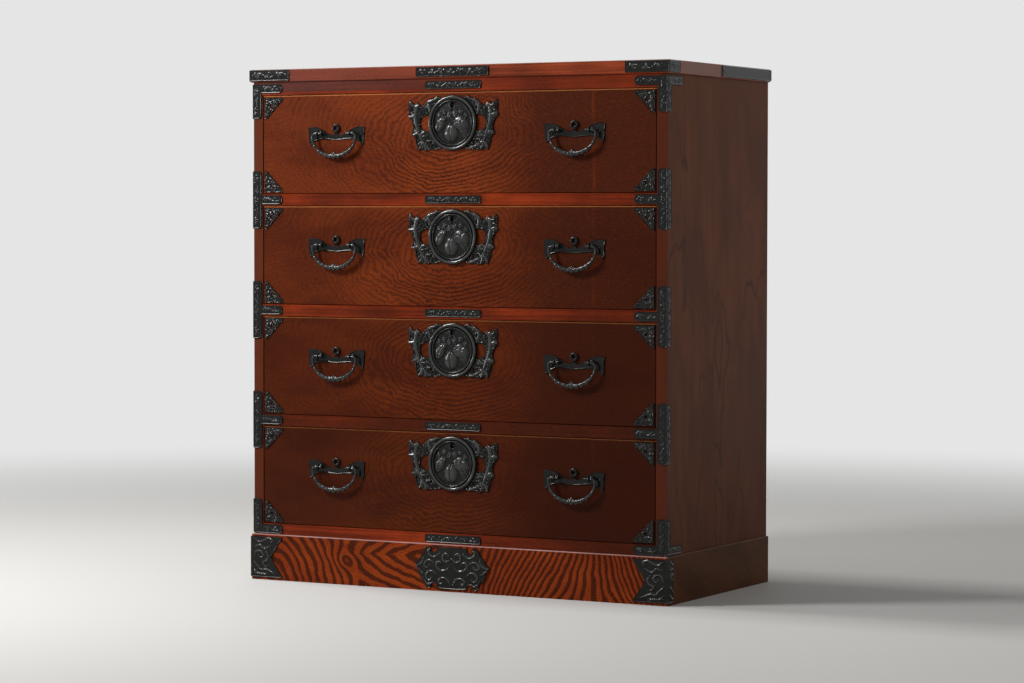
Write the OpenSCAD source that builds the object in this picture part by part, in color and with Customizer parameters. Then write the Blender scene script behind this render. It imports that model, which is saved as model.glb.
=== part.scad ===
// Small four-drawer tansu chest: a boarded carcass on a separate plinth, four drawers with
// swinging bail handles and a lock each, and black sheet-iron fittings.
// X runs left to right, the front faces -Y, Z is up. The plinth stands on z = 0.

/* [Carcass] */
// Width over the two side panels
carcass_w = 600; // [560:5:700]
// Depth from the front edges to the back edges
carcass_d = 298; // [280:2:360]
// Thickness of each side panel
side_t = 14; // [13:0.5:18]
// Thickness of the bottom board
bottom_t = 14; // [13:0.5:18]
// Height of the rails between two drawers
rail_h = 15; // [14:0.5:20]
// Height of the rail under the top board
top_rail_h = 17; // [16:0.5:24]
// Depth of the front rails
rail_d = 36; // [34:1:50]
// Depth of the rear rails
rear_rail_d = 24; // [20:1:36]
// Width of the runners, housing included
runner_w = 26; // [22:1:36]
// Thickness of the dust panels
dust_t = 4; // [3:0.5:6]
// Thickness of the back panel
back_t = 6; // [4:0.5:9]
// Depth of the housings in the side panels
housing = 5; // [3:0.5:7]
// Thickness of a drawer stop
stop_t = 12; // [8:1:16]

/* [Top board] */
// Thickness of the top board
slab_t = 16.5; // [16:0.5:24]
// Overhang past each side panel
slab_over_side = 3.5; // [2:0.5:8]
// Overhang past the front edges
slab_over_front = 2.5; // [1.5:0.5:6]
// Width and height of the tongue on each side panel
tongue = 5; // [4:0.5:6]

/* [Plinth] */
// Height of the plinth
plinth_h = 60; // [56:1:90]
// Thickness of the plinth boards
plinth_t = 18; // [16:1:24]
// Overhang past each side panel
plinth_over_side = 3; // [1.5:0.5:6]
// Overhang past the front edges
plinth_over_front = 2; // [1:0.5:5]
// Leg of the square glue blocks in the corners
block_w = 26; // [18:1:36]

/* [Drawers] */
// Height of each drawer opening
opening_h = 128.5; // [124:0.5:160]
// Gap beside a drawer, on each side
gap_side = 0.7; // [0.4:0.1:1.5]
// Gap between a drawer and its runners
gap_under = 0.3; // [0.2:0.1:0.6]
// Gap over a drawer front
gap_over = 0.9; // [0.6:0.1:1.5]
// How far the drawer fronts sit back from the front edges
drawer_inset = 0.4; // [0:0.2:3]
// Thickness of a drawer front
front_t = 16; // [15:0.5:20]
// Thickness of the drawer sides and backs
drawer_side_t = 9; // [8:0.5:12]
// Thickness of a drawer bottom
drawer_bottom_t = 5; // [4:0.5:7]
// How far a drawer's sides are lower than its front
side_drop = 3; // [1:0.5:8]
// Height of the drawer bottom's underside above the drawer's lower edge
bottom_rise = 6; // [5:0.5:10]
// Chamfer around a drawer front and the top board
chamfer = 0.9; // [0.4:0.1:1.5]

/* [Handles] */
// Distance of a handle's centre from the end of the drawer
handle_in = 112.3; // [95:0.1:135]
// Height of the bail pivots below the top of the drawer front
pivot_drop = 50; // [46:0.5:60]
// Distance between the two eye posts of a handle
eye_pitch = 48.6; // [44:0.2:56]
// Distance of the pivot axis from the drawer front
pivot_out = 7; // [6.4:0.1:10]
// Diameter of the bail's pins
pin_d = 3.2; // [2.6:0.1:3.8]
// Width of the handle's back plate
bat_w = 86; // [80:1:100]
// How far the bail reaches outside its eyes, to the middle of its bar
bail_out = 8.2; // [7:0.1:12]
// Drop of the bail's lowest bar below its pivots
bail_drop = 29; // [27:0.5:33]
// Diameter of the bail's bar near the pins
bail_d = 3.8; // [3:0.1:4.6]
// Diameter of the bail's bar at the bottom
grip_d = 5; // [4.2:0.1:6]

/* [Lock] */
// Distance of the lock plate's centre below the top of the drawer front
lock_drop = 38.6; // [37.5:0.1:48]
// Outer radius of the lock plate's raised ring
lock_ring_r = 35; // [34:0.5:37]
// Width of the lock plate over its wings
lock_plate_w = 132; // [120:1:140]
// Diameter of the keyhole
keyhole_d = 6.6; // [5:0.2:8]
// Distance of the keyhole below the top of the drawer front
keyhole_drop = 15.6; // [14:0.2:18]
// Width of the lock case
case_w = 44; // [40:1:60]
// Height of the lock case
case_h = 34; // [32:1:44]
// Depth of the lock case, front to back
case_d = 9; // [8:0.5:11]
// Travel of the lock bolt
bolt_travel = 6; // [4:0.5:7]

/* [Ironwork] */
// Thickness of the sheet iron
sheet_t = 1; // [0.8:0.1:1.5]
// Length of the brackets' arms along the rails
arm_l = 44.5; // [38:0.5:56]
// Height of the brackets' arms
arm_h = 12; // [10:0.5:13]
// Width of the brackets' uprights
bar_w = 12.5; // [10:0.5:13]
// Length of the uprights at the drawer corners
leg_l = 45; // [36:1:56]
// Height of the uprights at the rails
tee_h = 75; // [60:1:90]
// Width of the brackets' flanges on the side panels
flange_w = 10; // [7:0.5:14]
// Length of the brackets' arms on the side panels
side_arm_l = 42; // [30:1:56]
// Leg of the drawer fronts' corner plates
corner_l = 28; // [22:1:34]
// Size of the strips on the rails
strip_w = 81.6; // [60:1:110]
// Height of the strips on the rails
strip_h = 10.5; // [8:0.5:12.5]
// Width of the top board's centre plate
slab_plate_w = 106; // [80:1:130]
// Height of the top board's centre plate
slab_plate_h = 12.6; // [10:0.2:14]
// Length of the top board's front corner plates along the front
slab_corner_l = 60; // [40:1:90]
// Length of the same plates along the top board's sides
slab_side_l = 29; // [20:1:60]
// Length of the rear corner plates along the top board's sides
slab_rear_l = 150; // [40:1:170]
// Width of the plinth's centre plate
cloud_w = 110; // [90:1:130]
// Width of the plinth's corner plates at top and bottom
foot_w = 48; // [40:1:60]
// Width of the plinth's corner plates on the sides
foot_side_w = 14; // [10:0.5:20]
// Bare margin above and below the plinth's corner plates
foot_margin = 3.3; // [2:0.1:8]
// Diameter of a nail's head
nail_d = 2.2; // [1.8:0.1:3]

/* [Hidden] */
wood = "#6d2b17";
plain_wood = "#b98f5e";
iron = "#232628";
$fn = 40;

// Clearances
fit = 0.1;
bolt_fit = 0.3;
stop_gap = 0.3;
stop_in = 24;
stop_w = 24;
stop_h = 18;
pin_fit = 0.05;
seat = 0.02;

// Heights
drawers = 4;
first_z = plinth_h + bottom_t;
top_z = first_z + drawers * opening_h + (drawers - 1) * rail_h + top_rail_h;
slab_z = top_z + slab_t;

// Depths: the whole chest, its handles included, is centred on the origin
eye_r = pin_d / 2 + 1.8;
handle_out = pivot_out + eye_r - drawer_inset;
front_y = (max(handle_out, slab_over_front + sheet_t, plinth_over_front + sheet_t) - carcass_d) / 2;
back_y = front_y + carcass_d;
inner_back_y = back_y - back_t;
drawer_y = front_y + drawer_inset;
drawer_back_y = inner_back_y - stop_t - stop_gap;

// Widths
half_w = carcass_w / 2;
inner_half = half_w - side_t;
housed_half = inner_half + housing;
rebate_half = half_w - side_t / 2;
drawer_half = inner_half - gap_side;
slab_half = half_w + slab_over_side;
plinth_half = half_w + plinth_over_side;
plinth_y = front_y - plinth_over_front;

// Plinth
ease_side = 1.2;
ease_front = 0.8;
block_lift = 4;

// Dust panels
dust_lap = 6;
dust_half = housed_half - runner_w + dust_lap;
dust_front_y = front_y + rail_d - dust_lap;
dust_back_y = inner_back_y - rear_rail_d + dust_lap;

// Top board
tongue_in = 3;
slab_edge_y = front_y - slab_over_front;

// Drawer
handle_x = drawer_half - handle_in;
front_h = opening_h - gap_under - gap_over;
drawer_side_h = front_h - side_drop;
lip = front_t - drawer_side_t;
groove = 4;
tray_half = drawer_half - drawer_side_t;
inner_front_y = drawer_y + front_t;
back_dado = 3;
back_board_y = drawer_back_y - 1.5 * drawer_side_t;

// Lock
case_wall = 1.2;
case_in = 4;
case_y = inner_front_y - case_in;
selvedge_t = 2.2;
selvedge_ear = 7;
selvedge_w = case_w + 2 * selvedge_ear;
pin_key_d = 2.4;
bolt_w = 12;
bolt_t = 4;
bolt_y = case_y + case_d / 2;
mortise_h = bolt_travel + 2;

// Bail
elbow_r = bail_d / 2 + 2.4;
bail_half = eye_pitch / 2 + bail_out;
elbow_x = bail_half - elbow_r;
pin_from = eye_pitch / 2 - 5;
claws = 3;
claw_turn = 10;

// The bail's curve: a tighter arc at each side, and a flatter one at the bottom, its grip
side_turn = 54;
grip_turn = 90 - side_turn;
side_share = (1 - sin(side_turn)) / cos(side_turn);
side_r = (bail_drop - elbow_r - side_share * bail_half) / (1 - side_share);
grip_r = side_r + (bail_half - side_r) / cos(side_turn);

// Lower tips of a handle's back plate, and the ring over its middle
bat_tip = 15.5;
eye_ring_r = 4.4;
eye_ring_bar = 1.9;
eye_ring_z = 6.8;
eye_neck = 5.2;

// Iron
slab_corner_low = top_z + 1.3;
slab_corner_high = slab_z - 0.6;
sheet_r = 1.5;
foot_bracket_mid = plinth_h + bottom_t / 2;
flange_r = 2.5;
flange_cut = 1.5;
plate_gap = 1;
rim_r = 3.4;
dome_h = 3.2;
nail_h = 0.9;
tang_d = 3.4;
clinch_t = 1;

// Right half of the lock plate's leafy wing, as shares of the half width and of the ring's radius
wing_outline = [
    [0.2, 0.9], [0.29, 0.94], [0.35, 0.99], [0.4, 0.9], [0.46, 0.88], [0.5, 0.89], [0.56, 0.8],
    [0.63, 0.7], [0.71, 0.59], [0.74, 0.7], [0.79, 0.77], [0.83, 0.68], [0.88, 0.71], [0.93, 0.83],
    [0.97, 0.82], [0.99, 0.64], [0.97, 0.43], [1, 0.28], [0.94, 0.15], [0.9, 0], [0.88, -0.18],
    [0.92, -0.4], [0.85, -0.48], [0.83, -0.68], [0.79, -0.86], [0.77, -0.98], [0.68, -0.94],
    [0.59, -1.01], [0.5, -0.95], [0.39, -0.98], [0.3, -0.93], [0.2, -0.9]];

// ---- Functions and shared shapes ----

// Floor of an opening, counted from the top
function opening_z(k) = first_z + (drawers - k) * (opening_h + rail_h);

// Lower edge and top edge of a drawer front
function drawer_z(k) = opening_z(k) + gap_under;
function drawer_top_z(k) = drawer_z(k) + front_h;

// Underside, top and middle height of the rail over drawer k
function rail_z(k) = opening_z(k) + opening_h;
function rail_top(k) = k == 1 ? top_z : rail_z(k) + rail_h;
function rail_mid(k) = (rail_z(k) + rail_top(k)) / 2;

// Points of an arc
function arc(x, y, r, from, to, steps = 6) =
    [for (i = [0:steps]) let (a = from + (to - from) * i / steps) [x + r * cos(a), y + r * sin(a)]];

// Right half of an outline, top to bottom, with its mirror image
function with_mirror(half) =
    concat(half, [for (i = [len(half) - 1:-1:0]) if (half[i][0] > 0) [-half[i][0], half[i][1]]]);

// One point of a smooth curve through four points
function curve_at(a, b, c, d, t) =
    ((2 * b) + (c - a) * t + (2 * a - 5 * b + 4 * c - d) * t * t + (3 * b - a - 3 * c + d) * t * t * t) / 2;

// Open smooth curve through the points
function smooth(p, steps) = concat(
    [for (i = [0:len(p) - 2], j = [0:steps - 1])
        curve_at(p[max(i - 1, 0)], p[i], p[i + 1], p[min(i + 2, len(p) - 1)], j / steps)],
    [p[len(p) - 1]]);

// Board between two corners
module board(from, to) {
    translate(from) cube(to - from);
}

module both_sides() {
    children();
    mirror([1, 0, 0]) children();
}

// A drawing in X and Z, standing out of a plane that faces the front
module on_front(y, t) {
    translate([0, y, 0]) rotate([90, 0, 0]) linear_extrude(t) children();
}

// A drawing in Y and Z, standing out of a plane that faces right
module on_side(x, t) {
    translate([x, 0, 0]) rotate([90, 0, 90]) linear_extrude(t) children();
}

// Rectangle with rounded corners
module rounded(from, to, r) {
    polygon(concat(
        arc(to[0] - r, to[1] - r, r, 0, 90), arc(from[0] + r, to[1] - r, r, 90, 180),
        arc(from[0] + r, from[1] + r, r, 180, 270), arc(to[0] - r, from[1] + r, r, 270, 360)));
}

// Rectangle with chamfered corners
module chamfered(from, to, c) {
    polygon([
        [from[0] + c, from[1]], [to[0] - c, from[1]], [to[0], from[1] + c], [to[0], to[1] - c],
        [to[0] - c, to[1]], [from[0] + c, to[1]], [from[0], to[1] - c], [from[0], from[1] + c]]);
}

// Round-headed nail on a plane that faces the front
module nail(x, y, z) {
    cap_r = (nail_d * nail_d / 4 + nail_h * nail_h) / (2 * nail_h);
    translate([x, y - seat, z]) rotate([90, 0, 0]) intersection() {
        translate([0, 0, nail_h - cap_r]) sphere(cap_r);
        cylinder(h = nail_h, d = nail_d);
    }
}

// The same nail on a plane that faces right
module side_nail(x, y, z) {
    translate([x, y, z]) rotate([0, 0, 90]) nail(0, 0, 0);
}

// ---- Carcass ----

module top_board() {
    color(wood) difference() {
        intersection() {
            on_front(back_y, carcass_d + slab_over_front)
                chamfered([-slab_half, top_z], [slab_half, slab_z], chamfer);
            on_side(-slab_half, 2 * slab_half)
                chamfered([front_y - slab_over_front, top_z], [back_y, slab_z], chamfer);
        }
        both_sides() side_tongue(0);
    }
}

// Tongue on top of a side panel, stopped before the front
module side_tongue(gap) {
    board([half_w - tongue_in - tongue + gap, front_y + rail_d, top_z - 1],
        [half_w - tongue_in - gap, inner_back_y, top_z + tongue - gap]);
}

module side_panel() {
    color(wood) difference() {
        union() {
            board([inner_half, front_y, plinth_h], [half_w, back_y, top_z]);
            side_tongue(fit);
        }
        board([inner_half - 1, front_y - 1, plinth_h - 1], [housed_half, inner_back_y, first_z]);
        for (k = [1:drawers])
            board([inner_half - 1, front_y - 1, rail_z(k)], [housed_half, inner_back_y, rail_top(k)]);
        board([inner_half - 1, inner_back_y, plinth_h - 1], [rebate_half, back_y + 1, top_z + 1]);
    }
}

module side_panel_left() {
    mirror([1, 0, 0]) side_panel();
}

module side_panel_right() {
    side_panel();
}

module bottom_board() {
    color(wood) board([-housed_half, front_y, plinth_h], [housed_half, inner_back_y, first_z]);
}

module back_panel() {
    color(plain_wood)
        board([-rebate_half + fit, inner_back_y, plinth_h], [rebate_half - fit, back_y, top_z]);
}

// Slots for the edges of a dust panel in the parts around it
module dust_slot(k, grow) {
    board([-dust_half - grow, dust_front_y - grow, rail_mid(k) - dust_t / 2],
        [dust_half + grow, dust_back_y + grow, rail_mid(k) + dust_t / 2]);
}

// Mortise in the rail over drawer k for the lock bolt
module bolt_mortise(k) {
    board([-bolt_w / 2 - bolt_fit, bolt_y - bolt_t / 2 - bolt_fit, rail_z(k) - 1],
        [bolt_w / 2 + bolt_fit, bolt_y + bolt_t / 2 + bolt_fit, rail_z(k) + mortise_h - gap_over]);
}

module front_rails() {
    color(wood) for (k = [1:drawers]) difference() {
        board([-housed_half, front_y, rail_z(k)], [housed_half, front_y + rail_d, rail_top(k)]);
        bolt_mortise(k);
        if (k > 1) dust_slot(k, 0);
    }
}

module rear_rails() {
    color(plain_wood) for (k = [1:drawers]) difference() {
        board([-housed_half, inner_back_y - rear_rail_d, rail_z(k)],
            [housed_half, inner_back_y, rail_top(k)]);
        if (k > 1) dust_slot(k, 0);
    }
}

// Runners under three drawers, and the strips over the top drawer that keep it level
module runners() {
    color(plain_wood) for (k = [1:drawers]) difference() {
        both_sides()
            board([housed_half - runner_w, front_y + rail_d, rail_z(k)],
                [housed_half, inner_back_y - rear_rail_d, rail_top(k)]);
        if (k > 1) dust_slot(k, 0);
    }
}

module dust_panels() {
    color(plain_wood) for (k = [2:drawers]) dust_slot(k, -fit / 2);
}

// Two blocks behind each drawer, glued to the back panel
module drawer_stops() {
    color(plain_wood) for (k = [1:drawers]) both_sides()
        board([tray_half - stop_in - stop_w, inner_back_y - stop_t, opening_z(k)],
            [tray_half - stop_in, inner_back_y, opening_z(k) + stop_h]);
}

// ---- Plinth ----

// Plan of the right-hand half of the plinth, mitred at the front corner
module plinth_side_plan() {
    polygon([
        [plinth_half, plinth_y], [plinth_half, back_y],
        [plinth_half - plinth_t, back_y], [plinth_half - plinth_t, plinth_y + plinth_t]]);
}

module plinth_front_plan() {
    polygon([
        [-plinth_half, plinth_y], [plinth_half, plinth_y],
        [plinth_half - plinth_t, plinth_y + plinth_t], [-plinth_half + plinth_t, plinth_y + plinth_t]]);
}

// The plinth's whole block with its top edge eased
module plinth_block() {
    intersection() {
        on_front(back_y, back_y - plinth_y) polygon([
            [-plinth_half, 0], [plinth_half, 0], [plinth_half, plinth_h - ease_side],
            [plinth_half - ease_side, plinth_h], [-plinth_half + ease_side, plinth_h],
            [-plinth_half, plinth_h - ease_side]]);
        on_side(-plinth_half, 2 * plinth_half) polygon([
            [plinth_y, 0], [back_y, 0], [back_y, plinth_h],
            [plinth_y + ease_front, plinth_h], [plinth_y, plinth_h - ease_front]]);
    }
}

module plinth_front() {
    color(wood) intersection() {
        plinth_block();
        linear_extrude(plinth_h) plinth_front_plan();
    }
}

module plinth_sides() {
    color(wood) intersection() {
        plinth_block();
        both_sides() linear_extrude(plinth_h) plinth_side_plan();
    }
}

module plinth_back() {
    color(plain_wood)
        board([-plinth_half + plinth_t, back_y - plinth_t, 0], [plinth_half - plinth_t, back_y, plinth_h]);
}

module plinth_blocks() {
    inner = plinth_half - plinth_t;
    color(plain_wood) both_sides() {
        board([inner - block_w, plinth_y + plinth_t, block_lift],
            [inner, plinth_y + plinth_t + block_w, plinth_h]);
        board([inner - block_w, back_y - plinth_t - block_w, block_lift],
            [inner, back_y - plinth_t, plinth_h]);
    }
}

// ---- Iron on the carcass ----

// Sheet wrapped around a right-hand edge: a front face, and a flange on the side face
module wrap(edge_x, edge_y) {
    on_front(edge_y, sheet_t) children(0);
    on_side(edge_x, sheet_t) children(1);
}

module slab_corner() {
    height = slab_corner_high - slab_corner_low;
    square_l = 4;
    wrap(slab_half, slab_edge_y) {
        union() {
            rounded([slab_half - slab_corner_l, slab_corner_low], [slab_half, slab_corner_high], sheet_r);
            translate([slab_half - square_l, slab_corner_low]) square([square_l + sheet_t, height]);
        }
        union() {
            rounded([slab_edge_y, slab_corner_low], [slab_edge_y + slab_side_l, slab_corner_high], sheet_r);
            translate([slab_edge_y - sheet_t, slab_corner_low]) square([sheet_t + square_l, height]);
        }
    }
}

// Rear corner plate, flat on the top board's side
module slab_rear_corner() {
    on_side(slab_half, sheet_t)
        rounded([back_y - slab_rear_l, slab_corner_low], [back_y, slab_corner_high], sheet_r);
}

module top_board_plates() {
    mid = top_z + slab_t / 2;
    color(iron) {
        on_front(slab_edge_y, sheet_t) translate([0, mid])
            rounded([-slab_plate_w / 2, -slab_plate_h / 2], [slab_plate_w / 2, slab_plate_h / 2], 2.2);
        both_sides() {
            slab_corner();
            slab_rear_corner();
        }
    }
}

// Heights of a bracket's upright and arm: the kinds are "top", "tee" and "foot"
function bracket_low(kind, mid) =
    kind == "top" ? mid + arm_h / 2 - leg_l : kind == "tee" ? mid - tee_h / 2 : mid - arm_h / 2;
function bracket_high(kind, mid) =
    kind == "top" ? mid + arm_h / 2 : kind == "tee" ? mid + tee_h / 2 : mid - arm_h / 2 + leg_l;

module bracket(kind, mid) {
    low = bracket_low(kind, mid);
    high = bracket_high(kind, mid);
    end_r = bar_w * 0.4;
    wrap(half_w, front_y) {
        union() {
            rounded([half_w - bar_w, low], [half_w + sheet_t, high], end_r);
            translate([half_w - bar_w / 2, low]) square([bar_w / 2 + sheet_t, high - low]);
            rounded([half_w - arm_l, mid - arm_h / 2], [half_w, mid + arm_h / 2], arm_h * 0.45);
        }
        union() {
            rounded([front_y - sheet_t, low + flange_cut],
                [front_y + flange_w, high - flange_cut], flange_r);
            translate([front_y - sheet_t, low]) square([sheet_t + flange_r, high - low]);
            if (kind != "tee") translate([front_y, mid])
                rounded([0, 0.6 - arm_h / 2], [side_arm_l, arm_h / 2 - 0.6], flange_r);
        }
    }
}

module frame_brackets() {
    color(iron) both_sides() {
        bracket("top", rail_mid(1));
        for (k = [2:drawers]) bracket("tee", rail_mid(k));
        bracket("foot", foot_bracket_mid);
    }
}

module rail_strips() {
    mids = concat([for (k = [1:drawers]) rail_mid(k)], [foot_bracket_mid]);
    color(iron) for (mid = mids) on_front(front_y, sheet_t)
        rounded([-strip_w / 2, mid - strip_h / 2], [strip_w / 2, mid + strip_h / 2], 3);
}

// Width of a plinth corner plate: s runs from -1 at its foot to 1 at its top
function foot_edge(s) = foot_w - foot_w * 0.36 * (1 - pow(abs(s), 1.15)) + 0.9 * abs(sin(s * 540));

module plinth_corner() {
    low = foot_margin;
    high = plinth_h - foot_margin;
    steps = 24;
    inner_edge = [for (i = [0:steps]) let (s = 1 - 2 * i / steps)
        [plinth_half - foot_edge(s), (low + high) / 2 + s * (high - low) / 2]];
    wrap(plinth_half, plinth_y) {
        polygon(concat([[plinth_half + sheet_t, low], [plinth_half + sheet_t, high]], inner_edge));
        translate([plinth_y - sheet_t, low]) square([foot_side_w + sheet_t, high - low]);
    }
}

// Cloud-shaped plate: a rounded body with a curl at each corner and a pointed tip at each end
module cloud() {
    cloud_h = plinth_h - 2 * foot_margin;
    rx = cloud_w * 0.45;
    rz = cloud_h / 2;
    power = 2.6;
    body = [for (a = [0:7.5:359]) [
        rx * sign(cos(a)) * pow(abs(cos(a)), 2 / power), rz * sign(sin(a)) * pow(abs(sin(a)), 2 / power)]];
    curl_r = cloud_w * 0.055;
    difference() {
        union() {
            polygon(body);
            for (x = [-1, 1], z = [-1, 1])
                translate([x * cloud_w * 0.31, z * (rz - curl_r)]) circle(curl_r);
            for (x = [-cloud_w, cloud_w])
                polygon([[x * 0.4, rz * 0.5], [x * 0.5, rz * 0.12], [x * 0.4, -rz * 0.4]]);
        }
        for (x = [-1, 1], z = [-1, 1])
            translate([x * cloud_w * 0.24, z * (rz - curl_r * 0.45)]) circle(curl_r * 0.68);
    }
}

module plinth_plates() {
    color(iron) {
        both_sides() plinth_corner();
        on_front(plinth_y, sheet_t) translate([0, plinth_h / 2]) cloud();
    }
}

module bracket_nails(kind, mid) {
    low = bracket_low(kind, mid);
    high = bracket_high(kind, mid);
    y = front_y - sheet_t;
    inset = bar_w / 2;
    nail(half_w - arm_l + inset, y, mid);
    nail(half_w - inset, y, mid);
    if (kind != "foot") nail(half_w - inset, y, low + inset);
    if (kind != "top") nail(half_w - inset, y, high - inset);
    if (kind != "tee") side_nail(half_w + sheet_t, front_y + side_arm_l - inset, mid);
    side_nail(half_w + sheet_t, front_y + flange_w / 2, low + inset);
    side_nail(half_w + sheet_t, front_y + flange_w / 2, high - inset);
}

module slab_nails() {
    y = slab_edge_y - sheet_t;
    mid = top_z + slab_t / 2;
    nail(slab_plate_w / 2 - 4, y, mid);
    nail(slab_half - slab_corner_l + 5, y, mid);
    nail(slab_half - 7, y, mid);
    side_nail(slab_half + sheet_t, slab_edge_y + slab_side_l - 5, mid);
    side_nail(slab_half + sheet_t, back_y - slab_rear_l + 5, mid);
    side_nail(slab_half + sheet_t, back_y - 7, mid);
}

module plinth_nails() {
    y = plinth_y - sheet_t;
    for (z = [foot_margin + 5, plinth_h - foot_margin - 5]) {
        nail(plinth_half - foot_w + 8, y, z);
        nail(plinth_half - 5, y, z);
        side_nail(plinth_half + sheet_t, plinth_y + foot_side_w - 5, z);
        nail(cloud_w * 0.31, y, plinth_h / 2 + (z - plinth_h / 2) * 0.95);
    }
    nail(cloud_w / 2 - 6, y, plinth_h / 2 + 2);
}

module carcass_nails() {
    color(iron) both_sides() {
        slab_nails();
        plinth_nails();
        bracket_nails("top", rail_mid(1));
        for (k = [2:drawers]) bracket_nails("tee", rail_mid(k));
        bracket_nails("foot", foot_bracket_mid);
        for (k = [1:drawers]) nail(strip_w / 2 - 4, front_y - sheet_t, rail_mid(k));
        nail(strip_w / 2 - 4, front_y - sheet_t, foot_bracket_mid);
    }
}

// ---- Drawers ----

// Centres of the four eye posts of a drawer
eye_xs = [for (side = [-1, 1], post = [-1, 1]) side * handle_x + post * eye_pitch / 2];

function pivot_z(k) = drawer_top_z(k) - pivot_drop;
function lock_z(k) = drawer_top_z(k) - lock_drop;
function keyhole_z(k) = drawer_top_z(k) - keyhole_drop;

module drawer_front(k) {
    z = drawer_z(k);
    color(wood) difference() {
        intersection() {
            on_side(-drawer_half, 2 * drawer_half) polygon([
                [drawer_y, z + chamfer], [drawer_y + chamfer, z], [inner_front_y, z],
                [inner_front_y, z + front_h], [drawer_y + chamfer, z + front_h],
                [drawer_y, z + front_h - chamfer]]);
            linear_extrude(z + front_h) polygon([
                [-drawer_half + chamfer, drawer_y], [drawer_half - chamfer, drawer_y],
                [drawer_half, drawer_y + chamfer], [drawer_half, inner_front_y],
                [-drawer_half, inner_front_y], [-drawer_half, drawer_y + chamfer]]);
        }
        both_sides()
            board([tray_half, drawer_y + lip, z - 1],
                [drawer_half + 1, inner_front_y + 1, z + front_h + 1]);
        board([-tray_half - 1, inner_front_y - groove, z + bottom_rise],
            [tray_half + 1, inner_front_y + 1, z + bottom_rise + drawer_bottom_t]);
        board([-case_w / 2, case_y, drawer_top_z(k) - case_h],
            [case_w / 2, inner_front_y + 1, z + front_h + 1]);
        board([-selvedge_w / 2, case_y, drawer_top_z(k) - selvedge_t],
            [selvedge_w / 2, inner_front_y + 1, z + front_h + 1]);
        translate([0, drawer_y - 1, keyhole_z(k)]) rotate([-90, 0, 0])
            cylinder(h = front_t + 2, d = keyhole_d + 1.4);
        for (x = eye_xs) translate([x, drawer_y - 1, pivot_z(k)]) rotate([-90, 0, 0])
            cylinder(h = front_t + 2, d = tang_d + fit);
    }
}

module drawer_sides(k) {
    z = drawer_z(k);
    color(plain_wood) both_sides() difference() {
        board([tray_half, drawer_y + lip, z], [drawer_half, drawer_back_y, z + drawer_side_h]);
        board([tray_half - 1, drawer_y, z + bottom_rise],
            [tray_half + groove, drawer_back_y + 1, z + bottom_rise + drawer_bottom_t]);
        board([tray_half - 1, back_board_y, z + bottom_rise + drawer_bottom_t - 1],
            [tray_half + back_dado, back_board_y + drawer_side_t, z + drawer_side_h + 1]);
    }
}

module drawer_back(k) {
    z = drawer_z(k);
    color(plain_wood)
        board([-tray_half - back_dado, back_board_y, z + bottom_rise + drawer_bottom_t],
            [tray_half + back_dado, back_board_y + drawer_side_t, z + drawer_side_h]);
}

module drawer_bottom(k) {
    z = drawer_z(k) + bottom_rise;
    color(plain_wood) union() {
        board([-tray_half, inner_front_y - groove + fit, z],
            [tray_half, inner_front_y, z + drawer_bottom_t]);
        board([fit - tray_half - groove, inner_front_y, z],
            [tray_half + groove - fit, drawer_back_y, z + drawer_bottom_t]);
    }
}

// ---- Iron on the drawers ----

// Corner plate: the drawing's right angle is at its origin, the scalloped edge faces away
module corner_plate_shape() {
    blunt = 2.5;
    lobes = 5;
    steps = 30;
    edge = [for (i = [0:steps]) let (t = i / steps, bulge = 0.8 * abs(sin(t * lobes * 180)))
        [corner_l + (blunt - corner_l) * t + bulge, blunt + (corner_l - blunt) * t + bulge]];
    difference() {
        polygon(concat([[0, 0], [corner_l, 0]], edge, [[0, corner_l]]));
        translate([corner_l * 0.4, corner_l * 0.4]) circle(corner_l * 0.065);
    }
}

// Places something at each corner of drawer k's front, turned to fit it
module at_corners(k) {
    for (x = [-1, 1], z = [-1, 1])
        translate([x * (drawer_half - chamfer - plate_gap), 0,
            (drawer_z(k) + drawer_top_z(k)) / 2 + z * (front_h / 2 - chamfer - plate_gap)])
            mirror([x > 0 ? 1 : 0, 0, 0]) mirror([0, 0, z > 0 ? 1 : 0]) children();
}

// Back plate of a handle: swept wings, a narrow waist and a neck under the ring. Drawn around the
// middle of the pivots, with widths as shares of the half width
module bat_shape() {
    upper = smooth([[0, -1.2], [0.16, -1.2], [0.33, 1.3], [0.54, 6.1], [0.77, 9], [1, 8.2]], 4);
    lower = smooth([
        [1, 8.2], [0.98, 1], [0.97, -8], [0.92, -bat_tip], [0.81, -11], [0.63, -8], [0.42, -7.2],
        [0, -8.8]], 3);
    half = concat(upper, [for (i = [1:len(lower) - 1]) lower[i]]);
    polygon(with_mirror([for (p = half) [p[0] * bat_w / 2, p[1]]]));
    translate([-eye_neck / 2, eye_ring_z - 2 * eye_ring_r]) square([eye_neck, eye_ring_r]);
}

module handle_plate(k) {
    difference() {
        on_front(drawer_y, sheet_t) translate([0, pivot_z(k)]) bat_shape();
        for (x = [-1, 1]) translate([x * eye_pitch / 2, drawer_y - 2, pivot_z(k)])
            rotate([-90, 0, 0]) cylinder(h = 3, d = tang_d + fit);
    }
    lift = eye_ring_bar * 0.6;
    translate([0, drawer_y - lift, pivot_z(k) + eye_ring_z]) rotate([90, 0, 0]) intersection() {
        rotate_extrude() translate([eye_ring_r, 0]) circle(eye_ring_bar);
        translate([0, 0, -lift]) cylinder(h = 2 * eye_ring_bar, r = eye_ring_r + 2 * eye_ring_bar);
    }
}

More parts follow.
